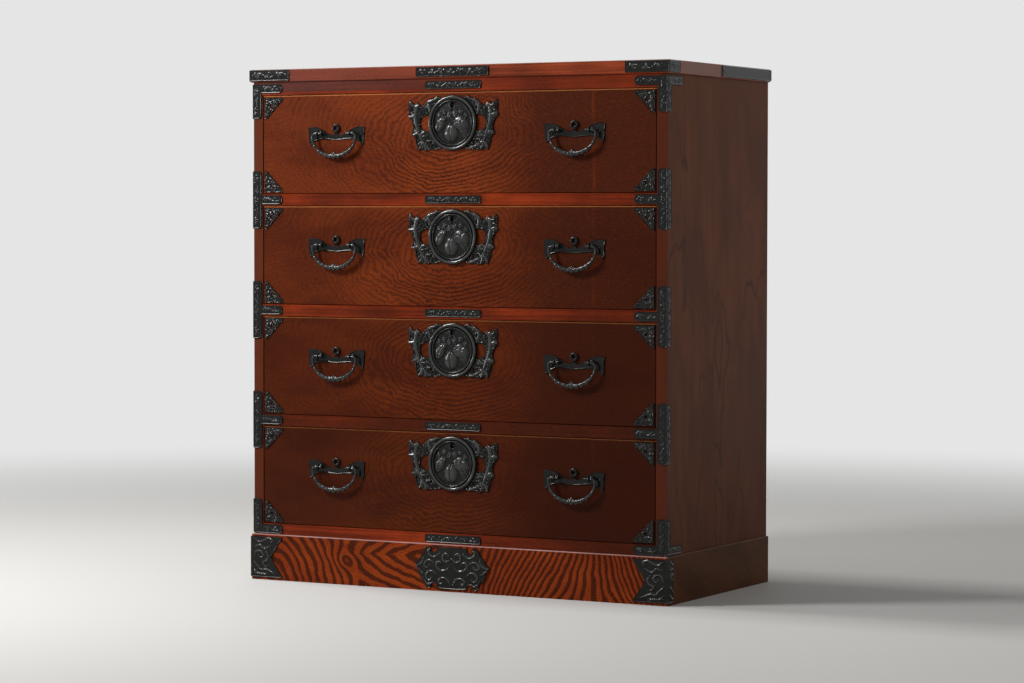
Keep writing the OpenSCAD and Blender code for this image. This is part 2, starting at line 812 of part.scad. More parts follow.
// Eye post: a barrel that holds the bail's pin, on a tang clinched inside the drawer
module eye_post(x, k) {
    barrel_l = 3.2;
    translate([x, drawer_y, pivot_z(k)]) difference() {
        union() {
            translate([-barrel_l / 2, -pivot_out, 0]) rotate([0, 90, 0]) cylinder(h = barrel_l, r = eye_r);
            translate([0, -pivot_out, 0]) rotate([-90, 0, 0])
                cylinder(h = pivot_out + front_t + clinch_t, d = tang_d);
            translate([0, -sheet_t - seat - 1, 0]) rotate([-90, 0, 0]) cylinder(h = 1, d = tang_d + 3);
            translate([0, front_t, 0]) rotate([-90, 0, 0]) cylinder(h = clinch_t, d = tang_d + 5);
        }
        translate([-barrel_l, -pivot_out, 0]) rotate([0, 90, 0])
            cylinder(h = 2 * barrel_l, r = pin_d / 2 + pin_fit);
    }
}

module drawer_fittings(k) {
    y = drawer_y - sheet_t;
    color(iron) {
        at_corners(k) {
            on_front(drawer_y, sheet_t) corner_plate_shape();
            nail(corner_l - 5, y, 2.4);
            nail(2.4, y, corner_l - 5);
            nail(3, y, 3);
        }
        for (x = [-handle_x, handle_x]) translate([x, 0, 0]) handle_plate(k);
        for (x = eye_xs) eye_post(x, k);
        for (x = [-handle_x, handle_x], side = [-1, 1]) nail(x + side * bat_w * 0.42, y, pivot_z(k) - 1);
    }
}

module lock_plate_shape() {
    difference() {
        polygon(with_mirror([for (p = wing_outline) [p[0] * lock_plate_w / 2, p[1] * lock_ring_r]]));
        for (x = [-1, 1]) difference() {
            translate([x * lock_plate_w * 0.285, 0]) circle(lock_ring_r * 0.28);
            circle(lock_ring_r * 0.99);
        }
        for (x = [-1, 1])
            translate([x * lock_plate_w * 0.235, -lock_ring_r * 0.68]) circle(lock_ring_r * 0.046);
    }
    circle(lock_ring_r);
}

module drawer_lock_plate(k) {
    dome_r = lock_ring_r - 2 * rim_r;
    ball_r = (dome_r * dome_r + dome_h * dome_h) / (2 * dome_h);
    color(iron) difference() {
        union() {
            on_front(drawer_y, sheet_t) translate([0, lock_z(k)]) lock_plate_shape();
            translate([0, drawer_y - sheet_t, lock_z(k)]) rotate([90, 0, 0]) {
                intersection() {
                    rotate_extrude($fn = 96) translate([lock_ring_r - rim_r, 0]) circle(rim_r);
                    cylinder(h = 2 * rim_r, r = lock_ring_r + 1);
                }
                intersection() {
                    translate([0, 0, dome_h - ball_r]) sphere(ball_r, $fn = 96);
                    cylinder(h = dome_h, r = dome_r, $fn = 96);
                }
            }
        }
        translate([0, drawer_y - 2 * rim_r, keyhole_z(k)]) rotate([-90, 0, 0])
            cylinder(h = 4 * rim_r, d = keyhole_d);
    }
}

// Lock case let into the back of the front: a box with a strip along the drawer's top edge
module drawer_lock_case(k) {
    top = drawer_top_z(k);
    cavity_half = case_w / 2 - case_wall;
    color(iron) union() {
        difference() {
            union() {
                board([-case_w / 2, case_y, top - case_h], [case_w / 2, case_y + case_d, top]);
                board([-selvedge_w / 2, case_y, top - selvedge_t], [selvedge_w / 2, case_y + case_d, top]);
            }
            board([-cavity_half, case_y + case_wall, top - case_h + case_wall],
                [cavity_half, case_y + case_d - case_wall, top - selvedge_t]);
            board([-bolt_w / 2 - bolt_fit, bolt_y - bolt_t / 2 - bolt_fit, top - selvedge_t - 1],
                [bolt_w / 2 + bolt_fit, bolt_y + bolt_t / 2 + bolt_fit, top + 1]);
            translate([0, case_y - 1, keyhole_z(k)]) rotate([-90, 0, 0])
                cylinder(h = case_wall + 2, d = keyhole_d);
        }
        translate([0, drawer_y, keyhole_z(k)]) rotate([-90, 0, 0])
            cylinder(h = case_y + case_d - case_wall / 2 - drawer_y, d = pin_key_d);
    }
}

// Lock bolt: it slides up on the key pin, out through the case's top strip
module drawer_lock_bolt(k) {
    top = drawer_top_z(k) - bolt_fit;
    slot_half = pin_key_d / 2 + bolt_fit;
    slot_top = keyhole_z(k) + slot_half;
    color(iron) difference() {
        board([-bolt_w / 2, bolt_y - bolt_t / 2, keyhole_z(k) - slot_half - bolt_travel - 4],
            [bolt_w / 2, bolt_y + bolt_t / 2, top]);
        board([-slot_half, bolt_y - bolt_t, keyhole_z(k) - slot_half - bolt_travel],
            [slot_half, bolt_y + bolt_t, slot_top]);
    }
}

// ---- Bails ----

// One half of a bail, drawn around the middle of its pins: pin, elbow, limb, grip and claws
module half_bail() {
    translate([pin_from, 0, 0]) rotate([0, 90, 0]) cylinder(h = elbow_x - pin_from, d = pin_d);
    translate([pin_from, 0, 0]) sphere(pin_d / 2 + 0.7);
    translate([elbow_x, 0, -elbow_r]) rotate([90, 0, 0])
        rotate_extrude(angle = 90) translate([elbow_r, 0]) circle(d = bail_d);
    translate([bail_half, 0, -elbow_r]) sphere(bail_d * 0.54);
    translate([bail_half - side_r, 0, -elbow_r]) rotate([90, side_turn, 0])
        rotate_extrude(angle = side_turn) translate([side_r, 0]) circle(d = bail_d);
    on_grip(grip_turn, 0) sphere(grip_d * 0.56);
    for (i = [1:claws]) on_grip(i * claw_turn, grip_d * 0.35) sphere(grip_d * 0.3);
}

// Places something on the bail's bottom curve, an angle away from its lowest point
module on_grip(angle, out) {
    reach = grip_r + out;
    translate([reach * sin(angle), 0, grip_r - bail_drop - reach * cos(angle)]) children();
}

module bail(x, k) {
    color(iron) translate([x, drawer_y - pivot_out, pivot_z(k)]) union() {
        both_sides() half_bail();
        translate([0, 0, grip_r - bail_drop]) rotate([90, 90 + grip_turn, 0])
            rotate_extrude(angle = 2 * grip_turn) translate([grip_r, 0]) circle(d = grip_d);
        translate([0, 0, -bail_drop]) {
            translate([0, 0, -grip_d * 0.4]) sphere(grip_d * 0.5);
            for (side = [-1, 1]) translate([side * grip_d * 0.45, 0, grip_d * 0.45]) sphere(grip_d * 0.3);
            translate([0, 0, grip_d * 0.8]) sphere(grip_d * 0.34);
        }
    }
}

module drawer_bail_left(k) {
    bail(-handle_x, k);
}

module drawer_bail_right(k) {
    bail(handle_x, k);
}

// ---- Every node ----

top_board();
side_panel_left();
side_panel_right();
bottom_board();
back_panel();
front_rails();
runners();
rear_rails();
dust_panels();
drawer_stops();
plinth_front();
plinth_sides();
plinth_back();
plinth_blocks();
top_board_plates();
frame_brackets();
rail_strips();
plinth_plates();
carcass_nails();
drawer_front(1);  // drawer_1_front
drawer_sides(1);  // drawer_1_sides
drawer_back(1);  // drawer_1_back
drawer_bottom(1);  // drawer_1_bottom
drawer_fittings(1);  // drawer_1_fittings
drawer_lock_plate(1);  // drawer_1_lock_plate
drawer_lock_case(1);  // drawer_1_lock_case
drawer_lock_bolt(1);  // drawer_1_lock_bolt
drawer_bail_left(1);  // drawer_1_bail_left
drawer_bail_right(1);  // drawer_1_bail_right
drawer_front(2);  // drawer_2_front
drawer_sides(2);  // drawer_2_sides
drawer_back(2);  // drawer_2_back
drawer_bottom(2);  // drawer_2_bottom
drawer_fittings(2);  // drawer_2_fittings
drawer_lock_plate(2);  // drawer_2_lock_plate
drawer_lock_case(2);  // drawer_2_lock_case
drawer_lock_bolt(2);  // drawer_2_lock_bolt
drawer_bail_left(2);  // drawer_2_bail_left
drawer_bail_right(2);  // drawer_2_bail_right
drawer_front(3);  // drawer_3_front
drawer_sides(3);  // drawer_3_sides
drawer_back(3);  // drawer_3_back
drawer_bottom(3);  // drawer_3_bottom
drawer_fittings(3);  // drawer_3_fittings
drawer_lock_plate(3);  // drawer_3_lock_plate
drawer_lock_case(3);  // drawer_3_lock_case
drawer_lock_bolt(3);  // drawer_3_lock_bolt
drawer_bail_left(3);  // drawer_3_bail_left
drawer_bail_right(3);  // drawer_3_bail_right
drawer_front(4);  // drawer_4_front
drawer_sides(4);  // drawer_4_sides
drawer_back(4);  // drawer_4_back
drawer_bottom(4);  // drawer_4_bottom
drawer_fittings(4);  // drawer_4_fittings
drawer_lock_plate(4);  // drawer_4_lock_plate
drawer_lock_case(4);  // drawer_4_lock_case
drawer_lock_bolt(4);  // drawer_4_lock_bolt
drawer_bail_left(4);  // drawer_4_bail_left
drawer_bail_right(4);  // drawer_4_bail_right
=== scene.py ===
"""Small lacquered tansu chest: the finishes, relief ironwork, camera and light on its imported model.

Lengths are in metres in the model's own frame (X to the right, the front faces -Y, Z is up), except in the
plates, locks and handles, which are drawn in millimetres.
"""

import logging
import math
from dataclasses import dataclass, field
from enum import Enum
from typing import Callable, Iterable, Sequence, Union

import bmesh
import bpy
import numpy as np
from mathutils import Matrix, Vector
from mathutils.geometry import delaunay_2d_cdt


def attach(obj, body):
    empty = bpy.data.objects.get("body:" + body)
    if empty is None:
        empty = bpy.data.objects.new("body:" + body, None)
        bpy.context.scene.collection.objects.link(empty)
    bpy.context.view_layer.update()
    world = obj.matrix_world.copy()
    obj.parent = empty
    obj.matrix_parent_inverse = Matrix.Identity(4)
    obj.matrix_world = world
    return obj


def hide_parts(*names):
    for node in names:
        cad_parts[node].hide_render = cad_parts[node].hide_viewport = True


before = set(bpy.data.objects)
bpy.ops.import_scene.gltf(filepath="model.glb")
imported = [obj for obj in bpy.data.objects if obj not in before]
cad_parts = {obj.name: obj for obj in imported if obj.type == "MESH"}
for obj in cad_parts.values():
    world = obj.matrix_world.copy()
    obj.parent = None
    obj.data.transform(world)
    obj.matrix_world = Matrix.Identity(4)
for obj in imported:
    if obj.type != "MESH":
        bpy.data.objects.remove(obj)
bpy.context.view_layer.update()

LOG = logging.getLogger("tansu")
MM = 0.001
FULL_TURN = 2 * math.pi
SEED = 7
WEAR_AND_SHEEN = "wear_and_sheen"  # the vertex attribute that says how far the finish has rubbed off, which also lightens it as a painted highlight
DRAWERS = 4
PITCH = 0.1435  # from one drawer down to the next

Color = tuple[float, float, float]
Hill = tuple[float, float, float, float, float]  # place, width both ways, and height in rings
Operand = Union["Signal", float]
Loops = list[np.ndarray]
Path = Sequence[tuple[float, float]]
Shape = tuple[np.ndarray, list]  # vertices and faces


# ---- Shader expressions ----


def _operator(operation: str, swapped: bool = False) -> Callable[["Signal", Operand], "Signal"]:
    """Makes one of the operators of signals.

    Args:
        operation: The Math node's operation.
        swapped: Whether the signal is the second value.

    Returns:
        The operator.
    """
    return lambda one, two: one.graph.math(operation, *((two, one) if swapped else (one, two)))


class Signal:
    """One output of a shader node. Python's operators on it add Math nodes."""

    __add__ = __radd__ = _operator("ADD")
    __mul__ = __rmul__ = _operator("MULTIPLY")
    __sub__, __rsub__ = _operator("SUBTRACT"), _operator("SUBTRACT", True)
    __truediv__ = _operator("DIVIDE")

    def __init__(self, graph: "Graph", socket: bpy.types.NodeSocket) -> None:
        """Wraps a node's output."""
        self.graph = graph
        self.socket = socket

    def __neg__(self) -> "Signal":
        """Negative."""
        return self * -1.0

    def math(self, operation: str, *others: Operand) -> "Signal":
        """Adds a Math node whose first value is this signal."""
        return self.graph.math(operation, self, *others)

    def smooth(self, low: float, high: float) -> "Signal":
        """Smooth step."""
        values = {"Value": self, "From Min": low, "From Max": high}
        return self.graph.add("ShaderNodeMapRange", {"interpolation_type": "SMOOTHSTEP"}, values)


class Graph:
    """A node tree of a material or world, and the one way in which nodes are added to it."""

    def __init__(self, owner: Union[bpy.types.Material, bpy.types.World]) -> None:
        """Empties the owner's node tree.

        Args:
            owner: The material or world.
        """
        owner.use_nodes = True
        self.tree = owner.node_tree
        self.tree.nodes.clear()

    def add(self, kind: str, settings: dict | None = None, values: dict | None = None,
            output: str = "") -> Signal:
        """Adds any node.

        Args:
            kind: The node's type.
            settings: Its own settings, set first.
            values: A number, colour or Signal for each input, by number, name or identifier.
            output: The name or identifier of the wanted output, or the first one.

        Returns:
            The wanted output.
        """
        node = self.tree.nodes.new(kind)
        for name, value in (settings or {}).items():
            setattr(node, name, value)
        for key, value in (values or {}).items():
            socket = self._pick(node.inputs, key)
            if isinstance(value, Signal):
                self.tree.links.new(value.socket, socket)
            else:
                socket.default_value = value
        first = node.outputs[0] if len(node.outputs) else None
        return Signal(self, self._pick(node.outputs, output) if output else first)

    @staticmethod
    def _pick(sockets: Iterable[bpy.types.NodeSocket], key: Union[int, str]) -> bpy.types.NodeSocket:
        """Finds a socket.

        Args:
            sockets: A node's inputs or outputs.
            key: The socket's number, identifier or name.

        Returns:
            The socket.
        """
        if isinstance(key, int):
            return sockets[key]
        by_identifier = [s for s in sockets if s.identifier == key]
        return by_identifier[0] if by_identifier else sockets[key]

    def math(self, operation: str, *values: Operand) -> Signal:
        """Adds a Math node."""
        return self.add("ShaderNodeMath", {"operation": operation}, dict(enumerate(values)))

    def bell(self, value: Signal) -> Signal:
        """A bell curve: 1 where the value is 0, and about a third where it is 1."""
        return self.math("EXPONENT", -(value * value))

    def place(self) -> tuple[Signal, Signal, Signal]:
        """The X, Y and Z of the shaded point in the model's frame."""
        point = self.add("ShaderNodeTexCoord", output="Object")
        node = self.add("ShaderNodeSeparateXYZ", values={0: point}).socket.node
        return tuple(Signal(self, node.outputs[i]) for i in range(3))

    def vector(self, x: Operand, y: Operand, z: Operand) -> Signal:
        """Joins three values to a vector."""
        return self.add("ShaderNodeCombineXYZ", values={0: x, 1: y, 2: z})

    def noise(self, at: Signal | tuple[Operand, Operand, Operand], detail: float, rough: float = 0.5,
              scale: float = 1.0) -> Signal:
        """Noise from 0 to 1.

        Args:
            at: Where it is read, as a vector or its three parts.
            detail: Its octaves.
            rough: How much the finer octaves count.
            scale: Its frequency.

        Returns:
            The noise's value.
        """
        at = at if isinstance(at, Signal) else self.vector(*at)
        values = {"Vector": at, "Scale": scale, "Detail": detail, "Roughness": rough}
        return self.add("ShaderNodeTexNoise", values=values)

    def mix(self, factor: Operand, a: Union[Signal, Color], b: Union[Signal, Color]) -> Signal:
        """Mixes two colours.

        Args:
            factor: The share of b.
            a: The first colour.
            b: The second colour.

        Returns:
            The mixed colour.
        """
        color = {"A_Color": a, "B_Color": b}
        values = {k: v if isinstance(v, Signal) else (*v, 1.0) for k, v in color.items()}
        settings = {"data_type": "RGBA", "clamp_factor": True}
        return self.add("ShaderNodeMix", settings, {"Factor_Float": factor, **values}, "Result_Color")

    def bump(self, height: Signal, distance: float, strength: float = 1.0) -> Signal:
        """A normal from a height."""
        values = {"Height": height, "Distance": distance, "Strength": strength}
        return self.add("ShaderNodeBump", values=values)

    def surface(self, settings: dict) -> None:
        """Ends the graph in a Principled BSDF."""
        shader = self.add("ShaderNodeBsdfPrincipled", values=settings)
        self.add("ShaderNodeOutputMaterial", values={"Surface": shader})


# ---- Finishes ----


class Figure(Enum):
    """How the growth rings lie on a piece of wood."""

    OVALS = "ovals around an eye, and slanting grain past a seam on either side"
    CONTOURS = "bold contours around hills at the left, leaning stripes at the right"
    ALONG_X = "straight, along the width"
    ALONG_Z = "standing, with slow waves and knots"
    ALONG_Y = "straight, along the depth"


@dataclass(frozen=True)
class Grain:
    """The signals of one board that the steps of its finish share."""

    graph: Graph
    x: Signal
    y: Signal
    z: Signal
    local: Operand
    zone: Signal
    pores: Signal
    fibre: Signal
    ragged: Signal


@dataclass(frozen=True)
class LacqueredWood:
    """Figured wood under a clear red-brown lacquer."""

    name: str
    figure: Figure
    eye: tuple[float, float] = (0.0, 0.0)
    shift: float = 0.0
    dark: Color = (0.034, 0.0075, 0.003)
    mid: Color = (0.105, 0.0185, 0.0050)
    light: Color = (0.200, 0.0400, 0.0090)
    deep: Color = (0.038, 0.0082, 0.0030)
    bright: Color = (0.300, 0.0620, 0.0090)
    dull: Color | None = None
    dull_z: float = 0.636
    front: Color | None = None
    front_y: tuple[float, float] = (-0.1436, -0.1410)
    # A pale colour on the board's end grain at its sides, a painted sheen.
    flank: Color | None = None
    flank_x: tuple[float, float] = (0.3028, 0.3034)
    # A colour along the board's upper edge: a painted highlight on the drawers, a painted reflection on the
    # plinth.
    edge: Color | None = None
    painted_highlight_z: float = 0.0
    painted_highlight_w: float = 1.1 * MM
    third_rail: tuple[float, float, float, float] = (0.195, 0.200, 0.220, 0.225)
    patches: float = 0.45
    flecks: float = 0.34
    ring: float = 5.0 * MM
    contrast: float = 1.0
    most: float = 0.94
    early: tuple[float, float] = (0.06, 0.34)
    late: tuple[float, float] = (0.74, 1.0)
    roughness: float = 0.33
    gloss: float = 0.05
    relief: float = 0.05 * MM
    hills: tuple[Hill, ...] = ()
    middles: tuple[tuple[float, float, float, float], ...] = ((-0.285, -0.006, 1.0, 0.0),
                                                              (-0.010, 0.042, 0.40, 0.068))
    seams: tuple[float, float] = (-0.245, 0.199)

    def build(self) -> bpy.types.Material:
        """Makes the material.

        Returns:
            The material.
        """
        material = bpy.data.materials.new(self.name)
        graph = Graph(material)
        x, y, z = graph.place()
        phase, across, along, local = self._phase(graph, x, y, z)
        zone = graph.noise((across * 17.0, along * 6.0, self.shift), 3.0, 0.6)
        pores = graph.noise((across * 420.0, along * 420.0, self.shift + 1.0), 3.0, 0.7)
        fibre = graph.noise((across * 1300.0, along * 60.0, 3.0), 3.0)
        strength = graph.noise((graph.math("FLOOR", phase) * 7.31, self.shift, 0.5), 1.0)
        bold = self.figure is Figure.CONTOURS
        tear = 0.12 if bold else 0.30
        ragged = (graph.math("FRACT", phase) + pores * tear - tear / 2).math("MAXIMUM", 0.0)
        if bold:
            ragged = (ragged + (strength - 0.5) * 0.5 + (zone - 0.5) * 0.4).math("MAXIMUM", 0.0)
        early, late = 1.0 - ragged.smooth(*self.early), ragged.smooth(*self.late)
        if bold:
            second = ragged.smooth(0.50, 0.58) * (1.0 - ragged.smooth(0.60, 0.68)) * zone.smooth(0.35, 0.5)
            figure = (early + late) * 0.72 + second * 0.30
        else:
            figure = (early * (0.35 + pores * 1.1) + late * 0.6) * (strength.smooth(0.3, 0.68) * 0.75 + 0.35)
        figure = (figure * local * self.contrast).math("MINIMUM", self.most)
        grain = Grain(graph, x, y, z, local, zone, pores, fibre, ragged)
        base = graph.mix(figure, self._body(grain), self.dark)
        graph.surface({
            "Base Color": self._edges(grain, self._over(grain, base)),
            "Roughness": self.roughness - 0.05 + graph.noise((x, y, z), 3.0, scale=19.0) * 0.10,
            "Specular IOR Level": self.gloss,
            "Normal": graph.bump(1.0 - early * pores * 0.7 - figure * 0.3, self.relief),
        })
        return material

    def _body(self, grain: Grain) -> Signal:
        """The colour between the rings.

        Args:
            grain: The board's signals.

        Returns:
            The colour.
        """
        graph, x, y, z, local = grain.graph, grain.x, grain.y, grain.z, grain.local
        body = graph.mix(grain.zone.smooth(0.34, 0.66), self.mid, self.light)
        if self.figure is Figure.OVALS:
            patch = graph.noise((x * 9.0, z * 14.0, self.shift), 3.0) * 0.10 - 0.05
            ends = x + patch
            # Darker at the left end for the wood's own darker colour; at the right end partly for darker wood
            # past the seam, partly as painted shade where the light falls off.
            dark_wood_and_painted_shade = (1.0 - ends.smooth(-0.24, -0.05)) * 0.52 + ends.smooth(0.03, 0.15) * 0.86
            body = graph.mix(dark_wood_and_painted_shade, body, self.deep)
            streak = (x + patch * 0.05 - self.seams[1]) / 0.0022
            flame = graph.bell(streak) * grain.zone.smooth(0.40, 0.62)
            body = graph.mix(flame * 0.35, body, self.light)
            between = grain.ragged.smooth(0.36, 0.48) * (1.0 - grain.ragged.smooth(0.60, 0.76)) * local
            body = graph.mix(between * (1.0 - dark_wood_and_painted_shade) * 0.26, body, self.bright)
        if self.figure is Figure.ALONG_X:
            streaks = graph.noise((x * 5.0, y * 60.0, z * 240.0), 4.0, 0.6).smooth(0.42, 0.66)
            spread = graph.noise((x * 7.0, y, z * 9.0 + self.shift), 2.0)
            # Painted shade: darker towards the lower right, away from the light.
            painted_shade_low_right = x.smooth(0.0, 0.22) * (1.0 - z.smooth(0.16, 0.48))
            low, foot, head, high = self.third_rail
            third = z.smooth(low, foot) * (1.0 - z.smooth(head, high)) * spread.smooth(0.30, 0.46)
            for share in (streaks * 0.55, spread.smooth(0.48, 0.62) * self.patches, painted_shade_low_right * 0.85,
                          third * 0.8):
                body = graph.mix(share, body, self.deep)
            if self.dull:
                fade = (1.0 - x.smooth(-0.28, 0.16)) * z.smooth(self.dull_z, self.dull_z + 0.002)
                body = graph.mix(fade * 0.9, body, self.dull)
        return body

    def _over(self, grain: Grain, base: Signal) -> Signal:
        """Adds fibres and flecks; on a side panel also a wandering line, a painted sheen towards the top and
        painted shade towards the bottom.

        Args:
            grain: The board's signals.
            base: The colour so far.

        Returns:
            The colour.
        """
        graph, x, y, z = grain.graph, grain.x, grain.y, grain.z
        base = graph.mix(grain.fibre.smooth(0.48, 0.80) * 0.26, base, self.dark)
        fleck = graph.noise((x * 260.0, y * 260.0, z * 620.0), 3.0, 0.65)
        base = graph.mix(fleck.smooth(0.50, 0.66) * self.flecks, base, self.dark)
        base = graph.mix((1.0 - fleck).smooth(0.52, 0.68) * self.flecks * 0.7, base, self.light)
        if self.figure is Figure.ALONG_Z:
            drift = graph.noise((y * 8.0, z * 2.6, x * 3.0), 3.0, 0.55)
            line = 1.0 - (drift - 0.5).math("ABSOLUTE").smooth(0.001, 0.010)
            base = graph.mix(line * (grain.zone.smooth(0.35, 0.6) * 0.5 + 0.1), base, self.deep)
            # Painted sheen, lighter towards the top, and painted shade, darker towards the bottom.
            base = graph.mix(z.smooth(0.45, 0.66) * 0.30, base, self.light)
            base = graph.mix((1.0 - z.smooth(0.06, 0.40)) * 0.24, base, self.deep)
        return base

    def _edges(self, grain: Grain, base: Signal) -> Signal:
        """Colours the front edge, the end grain with a painted sheen, and the upper edge with a painted
        highlight, where the board has such a colour.

        Args:
            grain: The board's signals.
            base: The colour so far.

        Returns:
            The colour.
        """
        graph = grain.graph
        if self.front:
            rim = 1.0 - grain.y.smooth(*self.front_y)
            base = graph.mix(rim * (0.95 - grain.fibre * 0.3), base, self.front)
        # A painted sheen of glancing light on the end grain.
        if self.flank:
            end = grain.x.math("ABSOLUTE").smooth(*self.flank_x)
            base = graph.mix(end * (0.8 - grain.fibre * 0.3), base, self.flank)
        # A painted highlight along the upper edge: a lit line on a drawer, a painted reflection on the
        # plinth.
        if self.edge:
            below = self.painted_highlight_z - self.painted_highlight_w
            wear_and_sheen = (grain.z + grain.pores * 0.0006).smooth(below - 0.0001, below + 0.0005)
            base = graph.mix(wear_and_sheen * (grain.zone * 0.8 + 0.3).math("MINIMUM", 1.0), base, self.edge)
        return base

    def _phase(self, graph: Graph, x: Signal, y: Signal, z: Signal) -> tuple[Signal, Signal, Signal, Operand]:
        """Counts the rings at the shaded point.

        Args:
            graph: The material's graph.
            x: Place along the width.
            y: Place along the depth.
            z: Height.

        Returns:
            The ring count, the places across and along the grain, and how strongly the rings show.
        """
        if self.figure is Figure.OVALS:
            return self._ovals(graph, x, z)
        if self.figure is Figure.CONTOURS:
            return self._contours(graph, x, z)
        if self.figure is Figure.ALONG_Z:
            slow = graph.noise((y * 5.0, z * 1.4, x), 2.0)
            bend = graph.noise((y * 16.0, z * 3.5, x), 3.0)
            phase = y / self.ring + x / 0.03 + slow * 9.0 + bend * 2.2 + self._hills(graph, y, z)
            return phase, y + x, z, graph.noise((y * 9.0, z * 3.0, x), 2.0) + 0.4
        across, along = (z, x) if self.figure is Figure.ALONG_X else (x + z, y)
        bend = graph.noise((across * 15.0, along * 2.2, y * 3.0), 3.0)
        local = graph.noise((across * 30.0, along * 5.0, 2.0), 2.0).smooth(0.3, 0.75)
        return across / self.ring + y / 0.02 + bend * 5.0, across + y * 0.5, along, local

    def _hills(self, graph: Graph, u: Signal, v: Signal) -> Operand:
        """Adds up the hills that bend the rings.

        Args:
            graph: The material's graph.
            u: First place.
            v: Second place.

        Returns:
            The sum at the shaded point, in rings.
        """
        total: Operand = 0.0
        for at_u, at_v, wide_u, wide_v, amount in self.hills:
            du, dv = (u - at_u) / wide_u, (v - at_v) / wide_v
            total = graph.math("EXPONENT", -(du * du + dv * dv)) * amount + total
        return total

    def _ovals(self, graph: Graph, x: Signal, z: Signal) -> tuple[Signal, Signal, Signal, Operand]:
        """Ovals around the eye, and slanting grain past a seam on either side.

        Args:
            graph: The material's graph.
            x: Place along the width.
            z: Height.

        Returns:
            As _phase does.
        """
        dx, dz = x - self.eye[0], z - self.eye[1]
        at = graph.vector(dx, self.shift, dz)
        slow, quick, lumps = (graph.noise(at, detail, scale=scale) - 0.5
                              for scale, detail in ((8.0, 2.0), (38.0, 3.0), (20.0, 2.0)))
        fine = graph.noise((dx * 0.6, self.shift, dz), 4.0, 0.65, 260.0) - 0.5
        across = dx * 0.56 + slow * 0.045 + lumps * 0.020 + quick * 0.010
        height = dz + quick * 0.010 + lumps * 0.010 + slow * 0.02
        radius = (across * across + height * height).math("SQRT")
        ovals = radius / self.ring + slow * 2.0 + fine * 1.5
        slant = (dx * 0.28 - dz * 0.9) / (self.ring * 0.9) + slow * 9.0 + quick * 2.0 + fine * 1.2
        seam = x + fine * 0.002
        left, right = (seam.math("GREATER_THAN", place) for place in self.seams)
        side = 1.0 - left + right
        phase = ovals * (1.0 - side) + slant * side
        local = (graph.bell(dx / 0.115) * 0.66 + slow * 1.1 + quick * 0.8 + 0.36) * (1.0 - side * 0.3)
        return phase, z, x, local.math("MAXIMUM", 0.14)

    def _contours(self, graph: Graph, x: Signal, z: Signal) -> tuple[Signal, Signal, Signal, Operand]:
        """Bold contours at the left, and stripes at the right that lean apart from a place near the end.

        Args:
            graph: The material's graph.
            x: Place along the width.
            z: Height.

        Returns:
            As _phase does.
        """
        at = graph.vector(x, self.shift, z)
        slow = graph.noise(at, 2.0, scale=13.0) - 0.5
        quick = graph.noise(at, 3.0, scale=46.0) - 0.5
        (u, v, wide, start), (s, t, long, later) = self.middles
        one = self._reach(x - u, z - v, wide) + start
        point = (z - t + slow * 0.012).math("ABSOLUTE")
        two = self._reach(x - s, z - t, long) * 0.35 + (x - s).math("ABSOLUTE") * long * 0.65
        two = two + point * 0.72 + later
        gap = one - two
        meet = (one + two - (gap * gap + 0.00003).math("SQRT")) * 0.5
        dx = x - self.eye[0]
        lean = dx * graph.bell(dx / 0.13) * (self.eye[1] - z) * 11.0
        past = x.smooth(-0.004, 0.004)
        fan = x - lean
        phase = (meet * (1.0 - past) + (fan + fan * fan * 1.7) * past) / self.ring
        phase = phase + self._hills(graph, x, z) + slow * 1.3 + quick * 0.85
        return phase, z, x, 1.0

    @staticmethod
    def _reach(x: Signal, z: Signal, wide: float) -> Signal:
        """The distance from a middle, with the width counted less."""
        x = x * wide
        return (x * x + z * z).math("SQRT")


@dataclass(frozen=True)
class PlainWood:
    """Planed light wood without finish, for what doesn't show when the chest is shut."""

    name: str
    along_x: bool
    base: Color = (0.56, 0.39, 0.22)
    line: Color = (0.36, 0.22, 0.11)
    ring: float = 6.0 * MM
    relief: float = 0.08 * MM

    def build(self) -> bpy.types.Material:
        """Makes the material.

        Returns:
            The material.
        """
        material = bpy.data.materials.new(self.name)
        graph = Graph(material)
        x, y, z = graph.place()
        along, across = (x, y + z) if self.along_x else (y, x + z)
        bend = graph.noise((across * 8.0, along * 1.5, 0.3), 2.0)
        ring = graph.math("FRACT", across / self.ring + bend * 7.0)
        fibre = graph.noise((across * 1500.0, along * 40.0, 1.0), 2.0)
        lines = ring.smooth(0.55, 0.98) * (1.0 - ring.smooth(0.985, 1.0))
        base = graph.mix(lines * 0.55 + fibre.smooth(0.5, 0.8) * 0.2, self.base, self.line)
        stain = graph.noise((x, y, z), 3.0, scale=6.0)
        graph.surface({
            "Base Color": graph.mix(stain.smooth(0.45, 0.8) * 0.25, base, self.line),
            "Roughness": 0.62 + fibre * 0.14,
            "Specular IOR Level": 0.25,
            "Normal": graph.bump(fibre * 0.6 + lines * 0.4, self.relief),
        })
        return material


